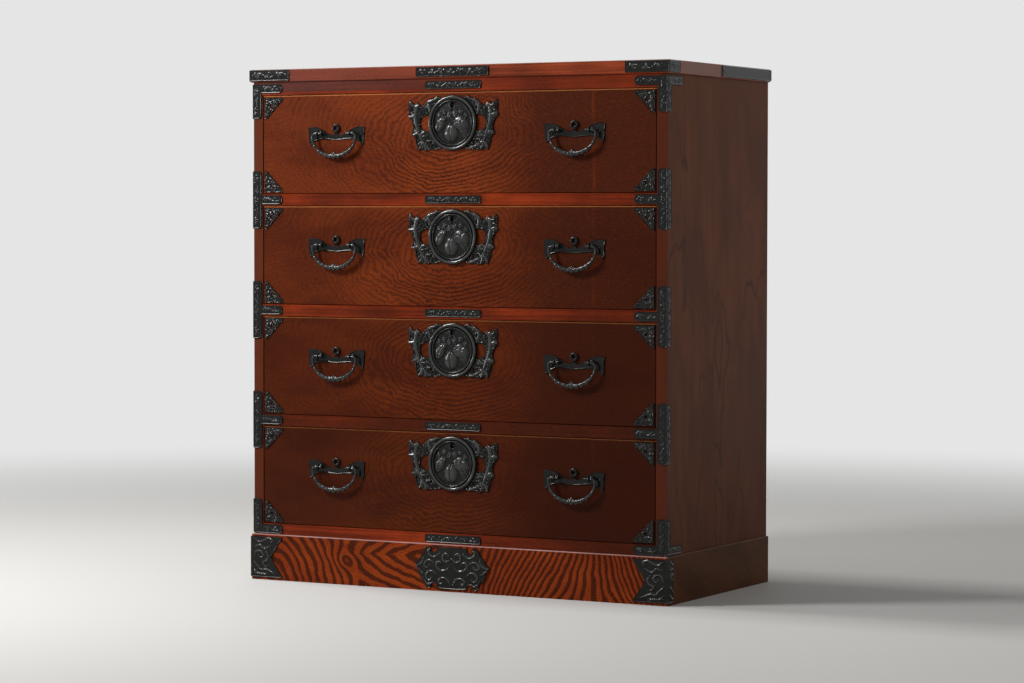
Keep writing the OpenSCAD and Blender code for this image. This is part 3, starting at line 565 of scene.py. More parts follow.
@dataclass(frozen=True)
class BlackIron:
    """Sheet iron with a black burnt-lacquer finish and a fine punched ground; raised parts are lighter,
    partly as wear and partly as a painted highlight.
    """

    name: str
    base: Color = (0.0030, 0.0035, 0.0028)
    pale: Color = (0.0070, 0.0074, 0.0064)
    # The lighter colour of raised parts: rubbed iron, and a painted highlight.
    bare_and_sheen: Color = (0.023, 0.024, 0.022)
    roughness: float = 0.21
    gloss: float = 0.21
    coat: float = 0.6
    coat_roughness: float = 0.12
    relief: float = 0.022 * MM

    def build(self) -> bpy.types.Material:
        """Makes the material.

        Returns:
            The material.
        """
        material = bpy.data.materials.new(self.name)
        graph = Graph(material)
        at = graph.vector(*graph.place())
        cloud = graph.noise(at, 3.0, scale=70.0)
        grain = graph.noise(at, 2.0, scale=900.0)
        dots = graph.add("ShaderNodeTexVoronoi", values={"Vector": at, "Scale": 1100.0}, output="Distance")
        wear_and_sheen = graph.add("ShaderNodeAttribute", {"attribute_name": WEAR_AND_SHEEN}, output="Fac")
        base = graph.mix(cloud.smooth(0.35, 0.8) * 0.8, self.base, self.pale)
        # Raised parts get a lighter colour: partly wear, partly a painted highlight.
        graph.surface({
            "Base Color": graph.mix(wear_and_sheen * (cloud * 0.9 + 0.2).math("MINIMUM", 1.0), base, self.bare_and_sheen),
            "Roughness": self.roughness - 0.07 + cloud * 0.14,
            "Specular IOR Level": self.gloss,
            "Coat Weight": wear_and_sheen * self.coat,
            "Coat Roughness": self.coat_roughness,
            "Normal": graph.bump(grain * 0.4 + dots * 0.6, self.relief, 0.8),
        })
        return material


# ---- Outlines, strokes and shapes, in millimetres ----


class Side(Enum):
    """A side that a plate faces: its outward normal and the directions of its u and v."""

    FRONT = ((0, -1, 0), (1, 0, 0), (0, 0, 1))
    RIGHT = ((1, 0, 0), (0, 1, 0), (0, 0, 1))
    LEFT = ((-1, 0, 0), (0, -1, 0), (0, 0, 1))

    @property
    def normal(self) -> Vector:
        """The outward normal."""
        return Vector(self.value[0])

    def flat(self, points: np.ndarray) -> np.ndarray:
        """Places in the plane."""
        return points @ np.array(self.value[1:], float).T

    def solid(self, uv: np.ndarray, out: np.ndarray) -> np.ndarray:
        """Points in the model's frame."""
        axes = np.array(self.value, float)
        return np.outer(out, axes[0]) + uv @ axes[1:]


def circle(angles: np.ndarray) -> np.ndarray:
    """Points of the unit circle.

    Args:
        angles: Their angles.

    Returns:
        The points.
    """
    return np.stack([np.cos(angles), np.sin(angles)], 1)


@dataclass(frozen=True)
class Stroke:
    """A raised line: a path with a half width at each of its points."""

    path: np.ndarray
    width: np.ndarray
    height: float

    def raise_over(self, points: np.ndarray, heights: np.ndarray) -> None:
        """Raises the heights under the stroke.

        Args:
            points: Places in the plane.
            heights: Their heights, changed in place.
        """
        reach = float(self.width.max())
        low = self.path.min(0) - reach
        high = self.path.max(0) + reach
        near = np.flatnonzero(((points > low) & (points < high)).all(1))
        if not len(near):
            return
        gap = np.linalg.norm(points[near, None, :] - self.path[None, :, :], axis=2)
        share = (gap / self.width[None, :]).min(1)
        lift = self.height * np.sqrt(np.clip(1.0 - share * share, 0.0, 1.0))
        heights[near] = np.maximum(heights[near], lift)


def curl(center: Sequence[float], radius: float, start: float, turns: float, width: float,
         height: float = 0.7) -> Stroke:
    """A spiral that winds inward.

    Args:
        center: Its middle.
        radius: Its outer radius.
        start: The angle of its outer end, in degrees.
        turns: How many times it winds round, negative for clockwise.
        width: Its half width at the outer end.
        height: How far it stands up.

    Returns:
        The spiral.
    """
    share = np.linspace(0.0, 1.0, max(10, int(26 * abs(turns))))
    angle = math.radians(start) + FULL_TURN * turns * share
    reach = radius * (1.0 - share) ** 0.8 + 0.08 * radius
    swell = 1.0 - 0.45 * share
    swell[-2:] = 1.15
    return Stroke(np.array(center) + reach[:, None] * circle(angle), width * swell, height)


def leaf(start: Sequence[float], angle: float, length: float, width: float, bend: float = 0.0,
         height: float = 0.8) -> Stroke:
    """A pointed leaf or lobe.

    Args:
        start: Its stalk end.
        angle: Its direction there, in degrees.
        length: Its length.
        width: Its half width at the widest.
        bend: How far it turns over its length, in degrees.
        height: How far it stands up.

    Returns:
        The leaf.
    """
    share = np.linspace(0.0, 1.0, 12)
    turn = np.radians(angle + bend * share)
    step = length / (len(share) - 1)
    path = np.array(start) + step * np.cumsum(circle(turn), 0)
    return Stroke(path, width * (0.25 + 0.75 * np.sin(np.pi * share ** 0.7)) + 0.05, height)


def vine(length: float, depth: float, wave: float) -> list[Stroke]:
    """A running vine with a curl and leaves in each bay.

    Args:
        length: How long it runs along u, about the origin.
        depth: The height of the strip that it fills.
        wave: The length of one bay.

    Returns:
        Its strokes.
    """
    bays = max(1, round(length / wave))
    wave = length / bays
    u = np.linspace(-length / 2, length / 2, bays * 14 + 1)
    swing = 0.22 * depth
    stem = np.stack([u, swing * np.sin(math.pi * (u + length / 2) / wave)], 1)
    strokes = [Stroke(stem, np.full(len(u), 0.040 * depth + 0.10), 0.85)]
    for i in range(bays):
        middle = -length / 2 + (i + 0.5) * wave
        way = 1 if i % 2 == 0 else -1
        size = min(0.26 * depth, 0.30 * wave)
        spot = (middle, -way * 0.10 * depth)
        strokes.append(curl(spot, size, way * 100, way * 1.1, 0.050 * depth + 0.1, 0.9))
        for at, rise, angle, long, wide, bend in ((-0.38, 0.10, 65, 0.34, 0.075, -40),
                                                  (0.30, 0.16, 140, 0.30, 0.065, 50)):
            start = (middle + at * wave, way * rise * depth)
            strokes.append(leaf(start, way * angle, long * depth, wide * depth, way * bend))
    return strokes


def smoothed(points: np.ndarray, steps: int) -> np.ndarray:
    """A smooth path through some points.

    Args:
        points: The points.
        steps: How many steps each stretch gets.

    Returns:
        The path.
    """
    ends = np.concatenate([points[:1] * 2 - points[1:2], points, points[-1:] * 2 - points[-2:-1]])
    share = (np.arange(steps) / steps)[:, None]
    path = []
    for a, b, c, d in zip(ends, ends[1:], ends[2:], ends[3:]):
        bend = (2 * a - 5 * b + 4 * c - d) * share ** 2 + (3 * b - a - 3 * c + d) * share ** 3
        path.append(b + ((c - a) * share + bend) / 2)
    return np.concatenate([*path, points[-1:]])


def moved(strokes: Iterable[Stroke], offset: Sequence[float], turn: float = 0.0) -> list[Stroke]:
    """Strokes turned about the origin, then moved.

    Args:
        strokes: The strokes.
        offset: How far they move.
        turn: How far they turn, in degrees.

    Returns:
        The moved strokes.
    """
    c, s = math.cos(math.radians(turn)), math.sin(math.radians(turn))
    spin = np.array([[c, s], [-s, c]])
    return [Stroke(k.path @ spin + np.array(offset, float), k.width, k.height) for k in strokes]


def edge_distance(points: np.ndarray, loops: Loops) -> np.ndarray:
    """How far each place lies from the outline.

    Args:
        points: Places in the plane.
        loops: The outline's closed loops.

    Returns:
        The distances.
    """
    best = np.full(len(points), np.inf)
    for loop in loops:
        for a, b in zip(loop, np.roll(loop, -1, 0)):
            run = b - a
            share = np.clip(((points - a) @ run) / max(float(run @ run), 1e-12), 0.0, 1.0)
            best = np.minimum(best, np.linalg.norm(points - a - share[:, None] * run, axis=1))
    return best


def inside(points: np.ndarray, loops: Loops) -> np.ndarray:
    """Whether each place lies inside the outline, holes left out.

    Args:
        points: Places in the plane.
        loops: The outline's closed loops.

    Returns:
        True for each place inside.
    """
    odd = np.zeros(len(points), bool)
    for loop in loops:
        for a, b in zip(loop, np.roll(loop, -1, 0)):
            if a[1] == b[1]:
                continue
            crosses = (a[1] > points[:, 1]) != (b[1] > points[:, 1])
            at = a[0] + (points[:, 1] - a[1]) * (b[0] - a[0]) / (b[1] - a[1])
            odd ^= crosses & (points[:, 0] < at)
    return odd


def resampled(loop: np.ndarray, spacing: float) -> np.ndarray:
    """A closed loop whose long edges are divided.

    Args:
        loop: The loop's corners.
        spacing: The longest edge that is kept whole.

    Returns:
        The loop with the added points.
    """
    parts = []
    for a, b in zip(loop, np.roll(loop, -1, 0)):
        count = max(1, math.ceil(float(np.linalg.norm(b - a)) / spacing))
        parts.append(a + (b - a) * (np.arange(count) / count)[:, None])
    return np.concatenate(parts)


def inset(loop: np.ndarray, loops: Loops, depth: float) -> np.ndarray:
    """Moves an outline's points into the plate.

    Args:
        loop: The points.
        loops: All outlines of the plate.
        depth: How far they move.

    Returns:
        The moved points that lie about that far from every edge.
    """
    along = np.roll(loop, -1, 0) - np.roll(loop, 1, 0)
    across = np.stack([along[:, 1], -along[:, 0]], 1)
    across *= depth / np.maximum(np.linalg.norm(across, axis=1, keepdims=True), 1e-9)
    points = loop + across
    if inside(points, loops).mean() < 0.5:
        points = loop - across
    return points[inside(points, loops) & (edge_distance(points, loops) > 0.85 * depth)]


def filled(points: np.ndarray, edges: list[tuple[int, int]], loops: Loops) -> tuple[np.ndarray, np.ndarray]:
    """Triangles that fill an outline.

    Args:
        points: All the vertices, the outline's own ones first.
        edges: The outline's edges.
        loops: The outline's closed loops.

    Returns:
        The vertices and the triangles, which turn anticlockwise.
    """
    made = delaunay_2d_cdt([Vector(p) for p in points], edges, [], 0, 1e-7)
    flat = np.array([p[:] for p in made[0]])
    faces = np.array(made[2])
    faces = faces[inside(flat[faces].mean(1), loops)]
    one, two = flat[faces[:, 1]] - flat[faces[:, 0]], flat[faces[:, 2]] - flat[faces[:, 0]]
    turned = one[:, 0] * two[:, 1] - one[:, 1] * two[:, 0]
    return flat, np.where(turned[:, None] > 0, faces, faces[:, ::-1])


def edges_facing(faces: np.ndarray, count: int) -> list[tuple[int, int]]:
    """The outer edges of a patch of triangles.

    Args:
        faces: The triangles.
        count: How many of the first vertices lie on the outline.

    Returns:
        The edges that only one triangle uses, in that triangle's direction.
    """
    found = {(int(f[i]), int(f[(i + 1) % 3])) for f in faces for i in range(3)
             if f[i] < count and f[(i + 1) % 3] < count}
    return sorted(e for e in found if (e[1], e[0]) not in found)


def mark(mesh: bpy.types.Mesh, name: str, values: np.ndarray) -> None:
    """Gives each vertex of a mesh a number or a vector.

    Args:
        mesh: The mesh.
        name: The attribute's name.
        values: The numbers, or the vectors as rows.
    """
    kind, key = ("FLOAT", "value") if values.ndim == 1 else ("FLOAT_VECTOR", "vector")
    mesh.attributes.new(name, kind, "POINT").data.foreach_set(key, values.ravel().astype(np.float32))


@dataclass
class Soup:
    """Vertices and faces that are gathered into one mesh, in the unit that the mesh shall have."""

    points: list[np.ndarray] = field(default_factory=list)
    faces: list[tuple[int, ...]] = field(default_factory=list)
    wear_and_sheen: list[np.ndarray] = field(default_factory=list)
    count: int = 0
    crease: float = math.radians(50.0)

    def add(self, points: np.ndarray, faces: Iterable[Sequence[int]], wear_and_sheen: float | np.ndarray = 0.0) -> None:
        """Adds a shape.

        Args:
            points: Its vertices.
            faces: Its faces, by vertex.
            wear_and_sheen: How far the finish has rubbed off each vertex, which also lightens it as a painted
                highlight, from 0 to 1.
        """
        self.points.append(np.asarray(points, float))
        self.wear_and_sheen.append(np.broadcast_to(wear_and_sheen, len(points)))
        self.faces.extend(tuple(i + self.count for i in f) for f in faces)
        self.count += len(points)

    def mesh(self, name: str) -> bpy.types.Mesh:
        """Makes the mesh.

        Args:
            name: The mesh's name.

        Returns:
            The mesh.
        """
        mesh = bpy.data.meshes.new(name)
        mesh.from_pydata(np.concatenate(self.points).tolist(), [], self.faces)
        mark(mesh, WEAR_AND_SHEEN, np.concatenate(self.wear_and_sheen))
        mesh.shade_smooth()
        mesh.set_sharp_from_angle(angle=self.crease)
        return mesh


def rings_closed(rings: int, sides: int) -> list[tuple[int, ...]]:
    """The faces that join rings of vertices, with a cap at either end.

    Args:
        rings: How many rings there are.
        sides: How many vertices each has.

    Returns:
        The faces.
    """
    last = (rings - 1) * sides
    faces = [(i + j, i + (j + 1) % sides, i + sides + (j + 1) % sides, i + sides + j)
             for i in range(0, last, sides) for j in range(sides)]
    return [*faces, tuple(range(sides - 1, -1, -1)), tuple(range(last, last + sides))]


def tube(path: np.ndarray, radius: np.ndarray, sides: int) -> Shape:
    """A closed tube along a path in the XZ plane.

    Args:
        path: Points of the path, X and Z.
        radius: The radius at each point.
        sides: How many sides it has.

    Returns:
        Vertices and faces.
    """
    run = np.gradient(path, axis=0)
    run /= np.linalg.norm(run, axis=1)[:, None]
    turn = circle(np.linspace(0, FULL_TURN, sides, endpoint=False))
    rings = []
    for p, along, r in zip(path, run, radius):
        plane = np.array([[-along[1], 0.0, along[0]], [0.0, 1.0, 0.0]])
        rings.append(np.array([p[0], 0.0, p[1]]) + r * (turn @ plane))
    return np.concatenate(rings), rings_closed(len(path), sides)


def lathe(profile: Path, sides: int) -> Shape:
    """A turned shape about the Y axis, from back to front.

    Args:
        profile: Radius and distance in front of the origin at each ring.
        sides: How many sides it has.

    Returns:
        Vertices and faces.
    """
    turn = np.linspace(0, FULL_TURN, sides, endpoint=False)
    rings = [np.stack([r * np.cos(turn), np.full(sides, -out), r * np.sin(turn)], 1) for r, out in profile]
    return np.concatenate(rings), rings_closed(len(profile), sides)


def torus(radius: float, bar: float, along_x: bool, rings: int, sides: int = 12) -> Shape:
    """A ring about the Y axis, or about the X axis.

    Args:
        radius: From its middle to the middle of its bar.
        bar: The bar's radius.
        along_x: Whether its axis is X.
        rings: Divisions around it.
        sides: Divisions around the bar.

    Returns:
        Vertices and faces.
    """
    a, b = np.meshgrid(*(np.arange(count) * FULL_TURN / count for count in (rings, sides)), indexing="ij")
    reach = radius + bar * np.cos(b)
    first, second, third = reach * np.cos(a), reach * np.sin(a), bar * np.sin(b)
    parts = [third, first, second] if along_x else [first, -third, second]
    corners = [(i * sides, (i + 1) % rings * sides, j, (j + 1) % sides)
               for i in range(rings) for j in range(sides)]
    faces = [(here + j, there + j, there + after, here + after) for here, there, j, after in corners]
    return np.stack([p.ravel() for p in parts], 1), faces


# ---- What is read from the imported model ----


def merged(node: str) -> bmesh.types.BMesh:
    """A merged copy of a node's mesh.

    Args:
        node: The node's name.

    Returns:
        The copy, which the caller frees.
    """
    mesh = bmesh.new()
    mesh.from_mesh(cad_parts[node].data)
    bmesh.ops.remove_doubles(mesh, verts=mesh.verts, dist=2e-6)
    return mesh


def solids(node: str) -> list[np.ndarray]:
    """The corners of each separate solid of a node.

    Args:
        node: The node's name.

    Returns:
        One array of points for each solid.
    """
    mesh = merged(node)
    seen: set[int] = set()
    found = []
    for seed in mesh.verts:
        if seed.index in seen:
            continue
        seen.add(seed.index)
        group, queue = [], [seed]
        while queue:
            vertex = queue.pop()
            group.append(vertex.co[:])
            for edge in vertex.link_edges:
                other = edge.other_vert(vertex)
                if other.index not in seen:
                    seen.add(other.index)
                    queue.append(other)
        found.append(np.array(group))
    mesh.free()
    return found


def outlines(node: str, side: Side, level: float) -> list[Loops]:
    """The outlines of a node's flat faces in one plane.

    Args:
        node: The node's name.
        side: The side that the faces look at.
        level: The plane's distance along the side's normal, in metres.

    Returns:
        For each connected face its closed loops, in millimetres.
    """
    mesh = merged(node)
    mesh.faces.ensure_lookup_table()
    flat = {f.index for f in mesh.faces if f.normal.dot(side.normal) > 0.999
            and abs(f.calc_center_median().dot(side.normal) - level) < 2e-5}
    groups = []
    while flat:
        queue, group = [flat.pop()], set()
        while queue:
            index = queue.pop()
            group.add(index)
            for edge in mesh.faces[index].edges:
                for face in edge.link_faces:
                    if face.index in flat:
                        flat.remove(face.index)
                        queue.append(face.index)
        groups.append(_loops_of(mesh, group, side))
    mesh.free()
    return groups


def _loops_of(mesh: bmesh.types.BMesh, group: set[int], side: Side) -> Loops:
    """The closed boundary loops of a group of faces.

    Args:
        mesh: The mesh.
        group: The faces' numbers.
        side: The plane that the loops are written in.

    Returns:
        The loops, in millimetres.
    """
    follows = {}
    for index in group:
        for corner in mesh.faces[index].loops:
            if sum(f.index in group for f in corner.edge.link_faces) == 1:
                follows[corner.vert] = corner.link_loop_next.vert
    loops = []
    while follows:
        start = next(iter(follows))
        vertex, loop = start, []
        while vertex in follows:
            loop.append(vertex.co[:])
            vertex = follows.pop(vertex)
        loops.append(side.flat(np.array(loop)) / MM)
    return sorted(loops, key=lambda points: -float(np.ptp(points[:, 0])))


def dress(node: str, material: bpy.types.Material) -> None:
    """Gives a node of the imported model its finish.

    Args:
        node: The node's name.
        material: Its material.
    """
    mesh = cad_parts[node].data
    mesh.materials.clear()
    mesh.materials.append(material)
    LOG.info("%s keeps its own shape, finish %s", node, material.name)


def put(name: str, data: bpy.types.ID) -> bpy.types.Object:
    """Puts a new object in the scene.

    Args:
        name: Its name.
        data: Its mesh, light or camera.

    Returns:
        The object.
    """
    made = bpy.data.objects.new(name, data)
    bpy.context.scene.collection.objects.link(made)
    return made


def baked(holder: bpy.types.Object, name: str) -> bpy.types.Mesh:
    """Turns an object with modifiers into a plain mesh, and removes the object.

    Args:
        holder: The object.
        name: The mesh's name.

    Returns:
        The mesh.
    """
    mesh = bpy.data.meshes.new_from_object(holder.evaluated_get(bpy.context.evaluated_depsgraph_get()))
    mesh.name = name
    holder.modifiers.clear()
    bpy.data.objects.remove(holder)
    return mesh


def finish_piece(name: str, mesh: bpy.types.Mesh, material: bpy.types.Material, body: str,
                 *nodes: str) -> None:
    """Puts a finished mesh in the scene on its body.

    Args:
        name: The piece's name.
        mesh: Its mesh, in place.
        material: Its material.
        body: The body that it rides on.
        nodes: The nodes that it stands for.
    """
    piece = put(name, mesh)
    if not mesh.materials:
        mesh.materials.append(material)
    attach(piece, body)
    if nodes:
        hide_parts(*nodes)
    LOG.info("%s: %d faces on %s", name, len(mesh.polygons), body)


# ---- Geometry Nodes: round studs ----


@dataclass
class StudField:
    """Round studs on the points of a mesh, built by a Geometry Nodes tree.

    The tree is made once and used for every set of nails.
    """

    material: bpy.types.Material
    height: float = 0.38
    segments: int = 12
    rings: int = 8
    uneven: float = 0.06
    tree: bpy.types.GeometryNodeTree | None = None
    keys: dict[str, str] = field(default_factory=dict)

    def build_tree(self) -> None:
        """Makes the node tree: on each point half a sphere, turned to the point's facing and sized to it."""
        self.tree = bpy.data.node_groups.new("Studs", "GeometryNodeTree")
        face = self.tree.interface
        for name, kind in (("Points", "Geometry"), ("Height", "Float"), ("Uneven", "Float"), ("Seed", "Int"),
                           ("Segments", "Int"), ("Rings", "Int"), ("Material", "Material")):
            socket = face.new_socket(name, in_out="INPUT", socket_type="NodeSocket" + kind)
            self.keys[name] = socket.identifier
        face.new_socket("Studs", in_out="OUTPUT", socket_type="NodeSocketGeometry")
        inputs = self._add("NodeGroupInput")
        ball = self._add("GeometryNodeMeshUVSphere", Segments=inputs["Segments"], Rings=inputs["Rings"],
                         Radius=0.5)
        at = self._add("GeometryNodeInputPosition")
        lie = self._add("ShaderNodeSeparateXYZ", Vector=at["Position"])
        low = self._add("FunctionNodeCompare", A=lie["Z"], B=-0.01, operation="LESS_THAN")
        dome = self._add("GeometryNodeDeleteGeometry", Geometry=ball["Mesh"], Selection=low["Result"])
        facing = self._add("GeometryNodeInputNamedAttribute", Name="facing", data_type="FLOAT_VECTOR")
        size = self._add("GeometryNodeInputNamedAttribute", Name="size", data_type="FLOAT")
        turn = self._add("FunctionNodeAlignRotationToVector", Vector=facing["Attribute"], axis="Z")
        least = self._math("SUBTRACT", 1.0, inputs["Uneven"])
        most = self._math("ADD", 1.0, inputs["Uneven"])
        vary = self._add("FunctionNodeRandomValue", Min=least, Max=most, Seed=inputs["Seed"],
                         data_type="FLOAT")
        wide = self._math("MULTIPLY", size["Attribute"], vary["Value"])
        tall = self._math("MULTIPLY", self._math("MULTIPLY", wide, inputs["Height"]), 2.0)
        scale = self._add("ShaderNodeCombineXYZ", X=wide, Y=wide, Z=tall)
        heads = self._add("GeometryNodeInstanceOnPoints", Points=inputs["Points"], Instance=dome["Geometry"],
                          Rotation=turn["Rotation"], Scale=scale["Vector"])
        real = self._add("GeometryNodeRealizeInstances", Geometry=heads["Instances"])
        smooth = self._add("GeometryNodeSetShadeSmooth", Geometry=real["Geometry"])
        done = self._add("GeometryNodeSetMaterial", Geometry=smooth["Geometry"], Material=inputs["Material"])
        self._add("NodeGroupOutput", Studs=done["Geometry"])

    def _math(self, operation: str, one: object, two: object) -> bpy.types.NodeSocket:
        """Adds a Math node."""
        return self._add("ShaderNodeMath", operation=operation, _0=one, _1=two)["Value"]

    def _add(self, kind: str, **values: object) -> dict[str, bpy.types.NodeSocket]:
        """Adds a node.

        Args:
            kind: Its type.
            values: Settings in small letters, inputs by name or by _number, as values or as outputs of nodes.

        Returns:
            Its outputs, by name.
        """
        node = self.tree.nodes.new(kind)
        plain = {k: v for k, v in values.items() if k[0].islower()}
        for key, value in plain.items():
            setattr(node, key, value)
        for key, value in values.items():
            if key in plain:
                continue
            live = [s for s in node.inputs if s.enabled]
            socket = node.inputs[int(key[1:])] if key[0] == "_" else next(s for s in live if s.name == key)
            if isinstance(value, bpy.types.NodeSocket):
                self.tree.links.new(value, socket)
            else:
                socket.default_value = value
        return {s.name: s for s in node.outputs if s.enabled}

    def place(self, name: str, points: np.ndarray, facing: np.ndarray, size: np.ndarray) -> bpy.types.Mesh:
        """Makes the studs as a plain mesh.

        Args:
            name: The mesh's name.
            points: Where the studs stand, in metres.
            facing: The direction of each.
            size: The diameter of each, in metres.

        Returns:
            The mesh.
        """
        if self.tree is None:
            self.build_tree()
        cloud = bpy.data.meshes.new(name + "_points")
        cloud.from_pydata(points.tolist(), [], [])
        mark(cloud, "facing", facing)
        mark(cloud, "size", size)
        holder = put(name + "_holder", cloud)
        modifier = holder.modifiers.new("Studs", "NODES")
        modifier.node_group = self.tree
        for key, value in (("Height", self.height), ("Uneven", self.uneven), ("Seed", SEED),
                           ("Segments", self.segments), ("Rings", self.rings), ("Material", self.material)):
            modifier[self.keys[key]] = value
        mesh = baked(holder, name)
        bpy.data.meshes.remove(cloud)
        return mesh


# ---- The chest's parts ----


Ornament = Callable[[Loops], list[Stroke]]


@dataclass
class ReliefPlate:
    """A sheet-iron plate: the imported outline, with a rounded edge, a raised rim and chased ornament."""

    node: str
    side: Side
    level: float
    sheet: float = 1.0
    grid: float = 0.75
    rim: float = 0.55
    rim_in: float = 0.55
    lift: float = 0.5
    ornament: Ornament | None = None
    limit: float = math.inf

    def build(self, soup: Soup) -> int:
        """Adds every island of the plate.

        Args:
            soup: Where the shapes go.

        Returns:
            How many islands the plate has.
        """
        found = outlines(self.node, self.side, self.level)
        for loops in found:
            self.chase(soup, loops, self.ornament(loops) if self.ornament else [])
        return len(found)

    def chase(self, soup: Soup, loops: Loops, strokes: Sequence[Stroke]) -> None:
        """Adds one island with its ornament."""
        self.emboss(soup, loops, lambda points: self.heights(points, loops, strokes))

    def emboss(self, soup: Soup, loops: Loops, heights: Callable[[np.ndarray], np.ndarray],
               bare_and_sheen: tuple[float, float] = (0.26, 1.25)) -> None:
        """Adds one island as a closed sheet.

        Args:
            soup: Where the shape goes.
            loops: Its outline, in millimetres.
            heights: Gives the heights of points of the sheet's front.
            bare_and_sheen: The heights between which the finish goes from whole to rubbed through, which also
                lightens it as a painted highlight.
        """
        loops = [resampled(p, self.grid * 1.2) for p in loops]
        rim = np.concatenate(loops)
        low, high = rim.min(0), rim.max(0)
        steps = np.maximum(2, np.round((high - low) / self.grid).astype(int))
        u, v = np.meshgrid(np.linspace(low[0], high[0], steps[0]), np.linspace(low[1], high[1], steps[1]))
        jitter = np.random.default_rng(SEED).uniform(-0.12, 0.12, (u.size, 2)) * self.grid
        spots = np.stack([u.ravel(), v.ravel()], 1) + jitter
        spots = spots[inside(spots, loops)]
        inner = self.rim_in * 2.1
        rows = [inset(p, loops, depth) for p in loops for depth in (self.rim_in, inner)]
        spots = spots[edge_distance(spots, loops) > inner + 0.4 * self.grid]
        points = np.concatenate([rim, *rows, spots])
        edges, start = [], 0
        for loop in loops:
            count = len(loop)
            edges += [(start + i, start + (i + 1) % count) for i in range(count)]
            start += count
        flat, faces = filled(points, edges, loops)
        back = filled(rim, edges, loops)[1]
        tall = heights(flat)
        # Raised relief gets a lighter colour: partly rubbed-through wear, partly a painted highlight.
        wear_and_sheen = np.clip((tall - bare_and_sheen[0]) / (bare_and_sheen[1] - bare_and_sheen[0]), 0.0, 1.0)
        front = self.side.solid(flat * MM, self.level + tall * MM)
        rear = self.side.solid(rim * MM, np.full(len(rim), self.level - self.sheet * MM))
        walls = [(b, a, a + len(flat), b + len(flat)) for a, b in edges_facing(faces, len(rim))]
        behind = back[:, ::-1] + len(flat)
        soup.add(np.concatenate([front, rear]), [*faces.tolist(), *walls, *behind.tolist()],
                 np.concatenate([wear_and_sheen, np.zeros(len(rear))]))

    def heights(self, points: np.ndarray, loops: Loops, strokes: Sequence[Stroke]) -> np.ndarray:
        """How far each point stands in front of the sheet's plane.

        Args:
            points: Places in the plane, in millimetres.
            loops: The outline.
            strokes: The ornament.

        Returns:
            The heights.
        """
        gap = edge_distance(points, loops)
        height = np.zeros(len(points))
        for stroke in strokes:
            stroke.raise_over(points, height)
        height *= np.clip(gap / 0.8, 0.0, 1.0)
        ridge = self.rim * np.exp(-((gap - self.rim_in) / 0.36) ** 2)
        drop = -0.55 * self.sheet * np.clip(1.0 - gap / (0.5 * self.sheet), 0.0, 1.0) ** 2
        pillow = self.lift * 0.35 * np.clip((gap - 0.8) / 4.0, 0.0, 1.0)
        return np.minimum(np.maximum(height, ridge) + pillow + drop, self.limit)


def band(length: float, width: float, middle: Sequence[float], turn: float = 0.0) -> list[Stroke]:
    """A vine that fills a band.

    Args:
        length: How long it runs.
        width: The band's width.
        middle: The band's middle.
        turn: The band's direction, in degrees.

    Returns:
        The strokes.
    """
    return moved(vine(length, width * 0.70, width * 1.05), middle, turn)


def strip_scrolls(loops: Loops) -> list[Stroke]:
    """A vine along a plain strip.

    Args:
        loops: The strip's outline.

    Returns:
        The strokes.
    """
    low, high = loops[0].min(0), loops[0].max(0)
    size, middle = high - low, (high + low) / 2
    return band(size.max() - 10.0, size.min(), middle, 0.0 if size[0] > size[1] else 90.0)


def bracket_scrolls(loops: Loops) -> list[Stroke]:
    """Vines along the upright and the arm of a bracket.

    Args:
        loops: The bracket's outline.

    Returns:
        The strokes.
    """
    loop = resampled(loops[0], 1.0)
    low, high = loop.min(0), loop.max(0)
    if high[0] - low[0] < 20.0:
        return strip_scrolls(loops)
    spans = [np.ptp(loop[np.abs(loop[:, 0] - end) < 5.0, 1]) for end in (low[0], high[0])]
    way = 1.0 if spans[1] > spans[0] else -1.0
    outer, inner = (high[0], low[0]) if way > 0 else (low[0], high[0])
    tip = loop[np.abs(loop[:, 0] - inner) < 6.0]
    bar = 11.8 if high[1] - low[1] > 40.0 and high[0] - low[0] < 48.0 else 12.0
    middle = (outer - way * bar / 2, (low[1] + high[1]) / 2)
    upright = band(high[1] - low[1] - 8.0, bar, middle, 90.0)
    reach = abs(outer - inner) - bar - 4.0
    depth = float(np.ptp(tip[:, 1]))
    at = (inner + way * (reach / 2 + 2.5), float(tip[:, 1].mean()))
    return upright + moved(vine(reach - 3.0, min(depth, 11.5) * 0.70, 12.0), at)


@dataclass(frozen=True)
class Scatter:
    """Curls, commas and leaves strewn over an outline at about even distances."""

    spacing: float
    size: float
    height: float

    def __call__(self, loops: Loops) -> list[Stroke]:
        """Strews the strokes.

        Args:
            loops: The outline.

        Returns:
            The strokes.
        """
        rng = np.random.default_rng(SEED)
        corners = np.concatenate(loops)
        low, high = corners.min(0), corners.max(0)
        spots = rng.uniform(low, high, (int(40 * np.prod(high - low) / self.spacing ** 2), 2))
        spots = spots[inside(spots, loops)]
        gaps = edge_distance(spots, loops)
        clear = gaps > self.size * 0.55
        spots, gaps = spots[clear], gaps[clear]
        taken: list[np.ndarray] = []
        strokes: list[Stroke] = []
        for spot, gap in zip(spots, gaps):
            if taken and np.linalg.norm(np.array(taken) - spot, axis=1).min() < self.spacing:
                continue
            taken.append(spot)
            start, kind, way = rng.uniform(0, 360), rng.uniform(), rng.choice([-1, 1])
            size = min(self.size, gap * 0.95)
            if kind < 0.55:
                strokes.append(curl(spot, size, start, way * 1.25, 0.2 * size + 0.08, self.height))
            else:
                for turn in (-50, 0, 50):
                    strokes.append(leaf(spot, start + turn, size, 0.22 * size, way * 70, self.height))
        return strokes


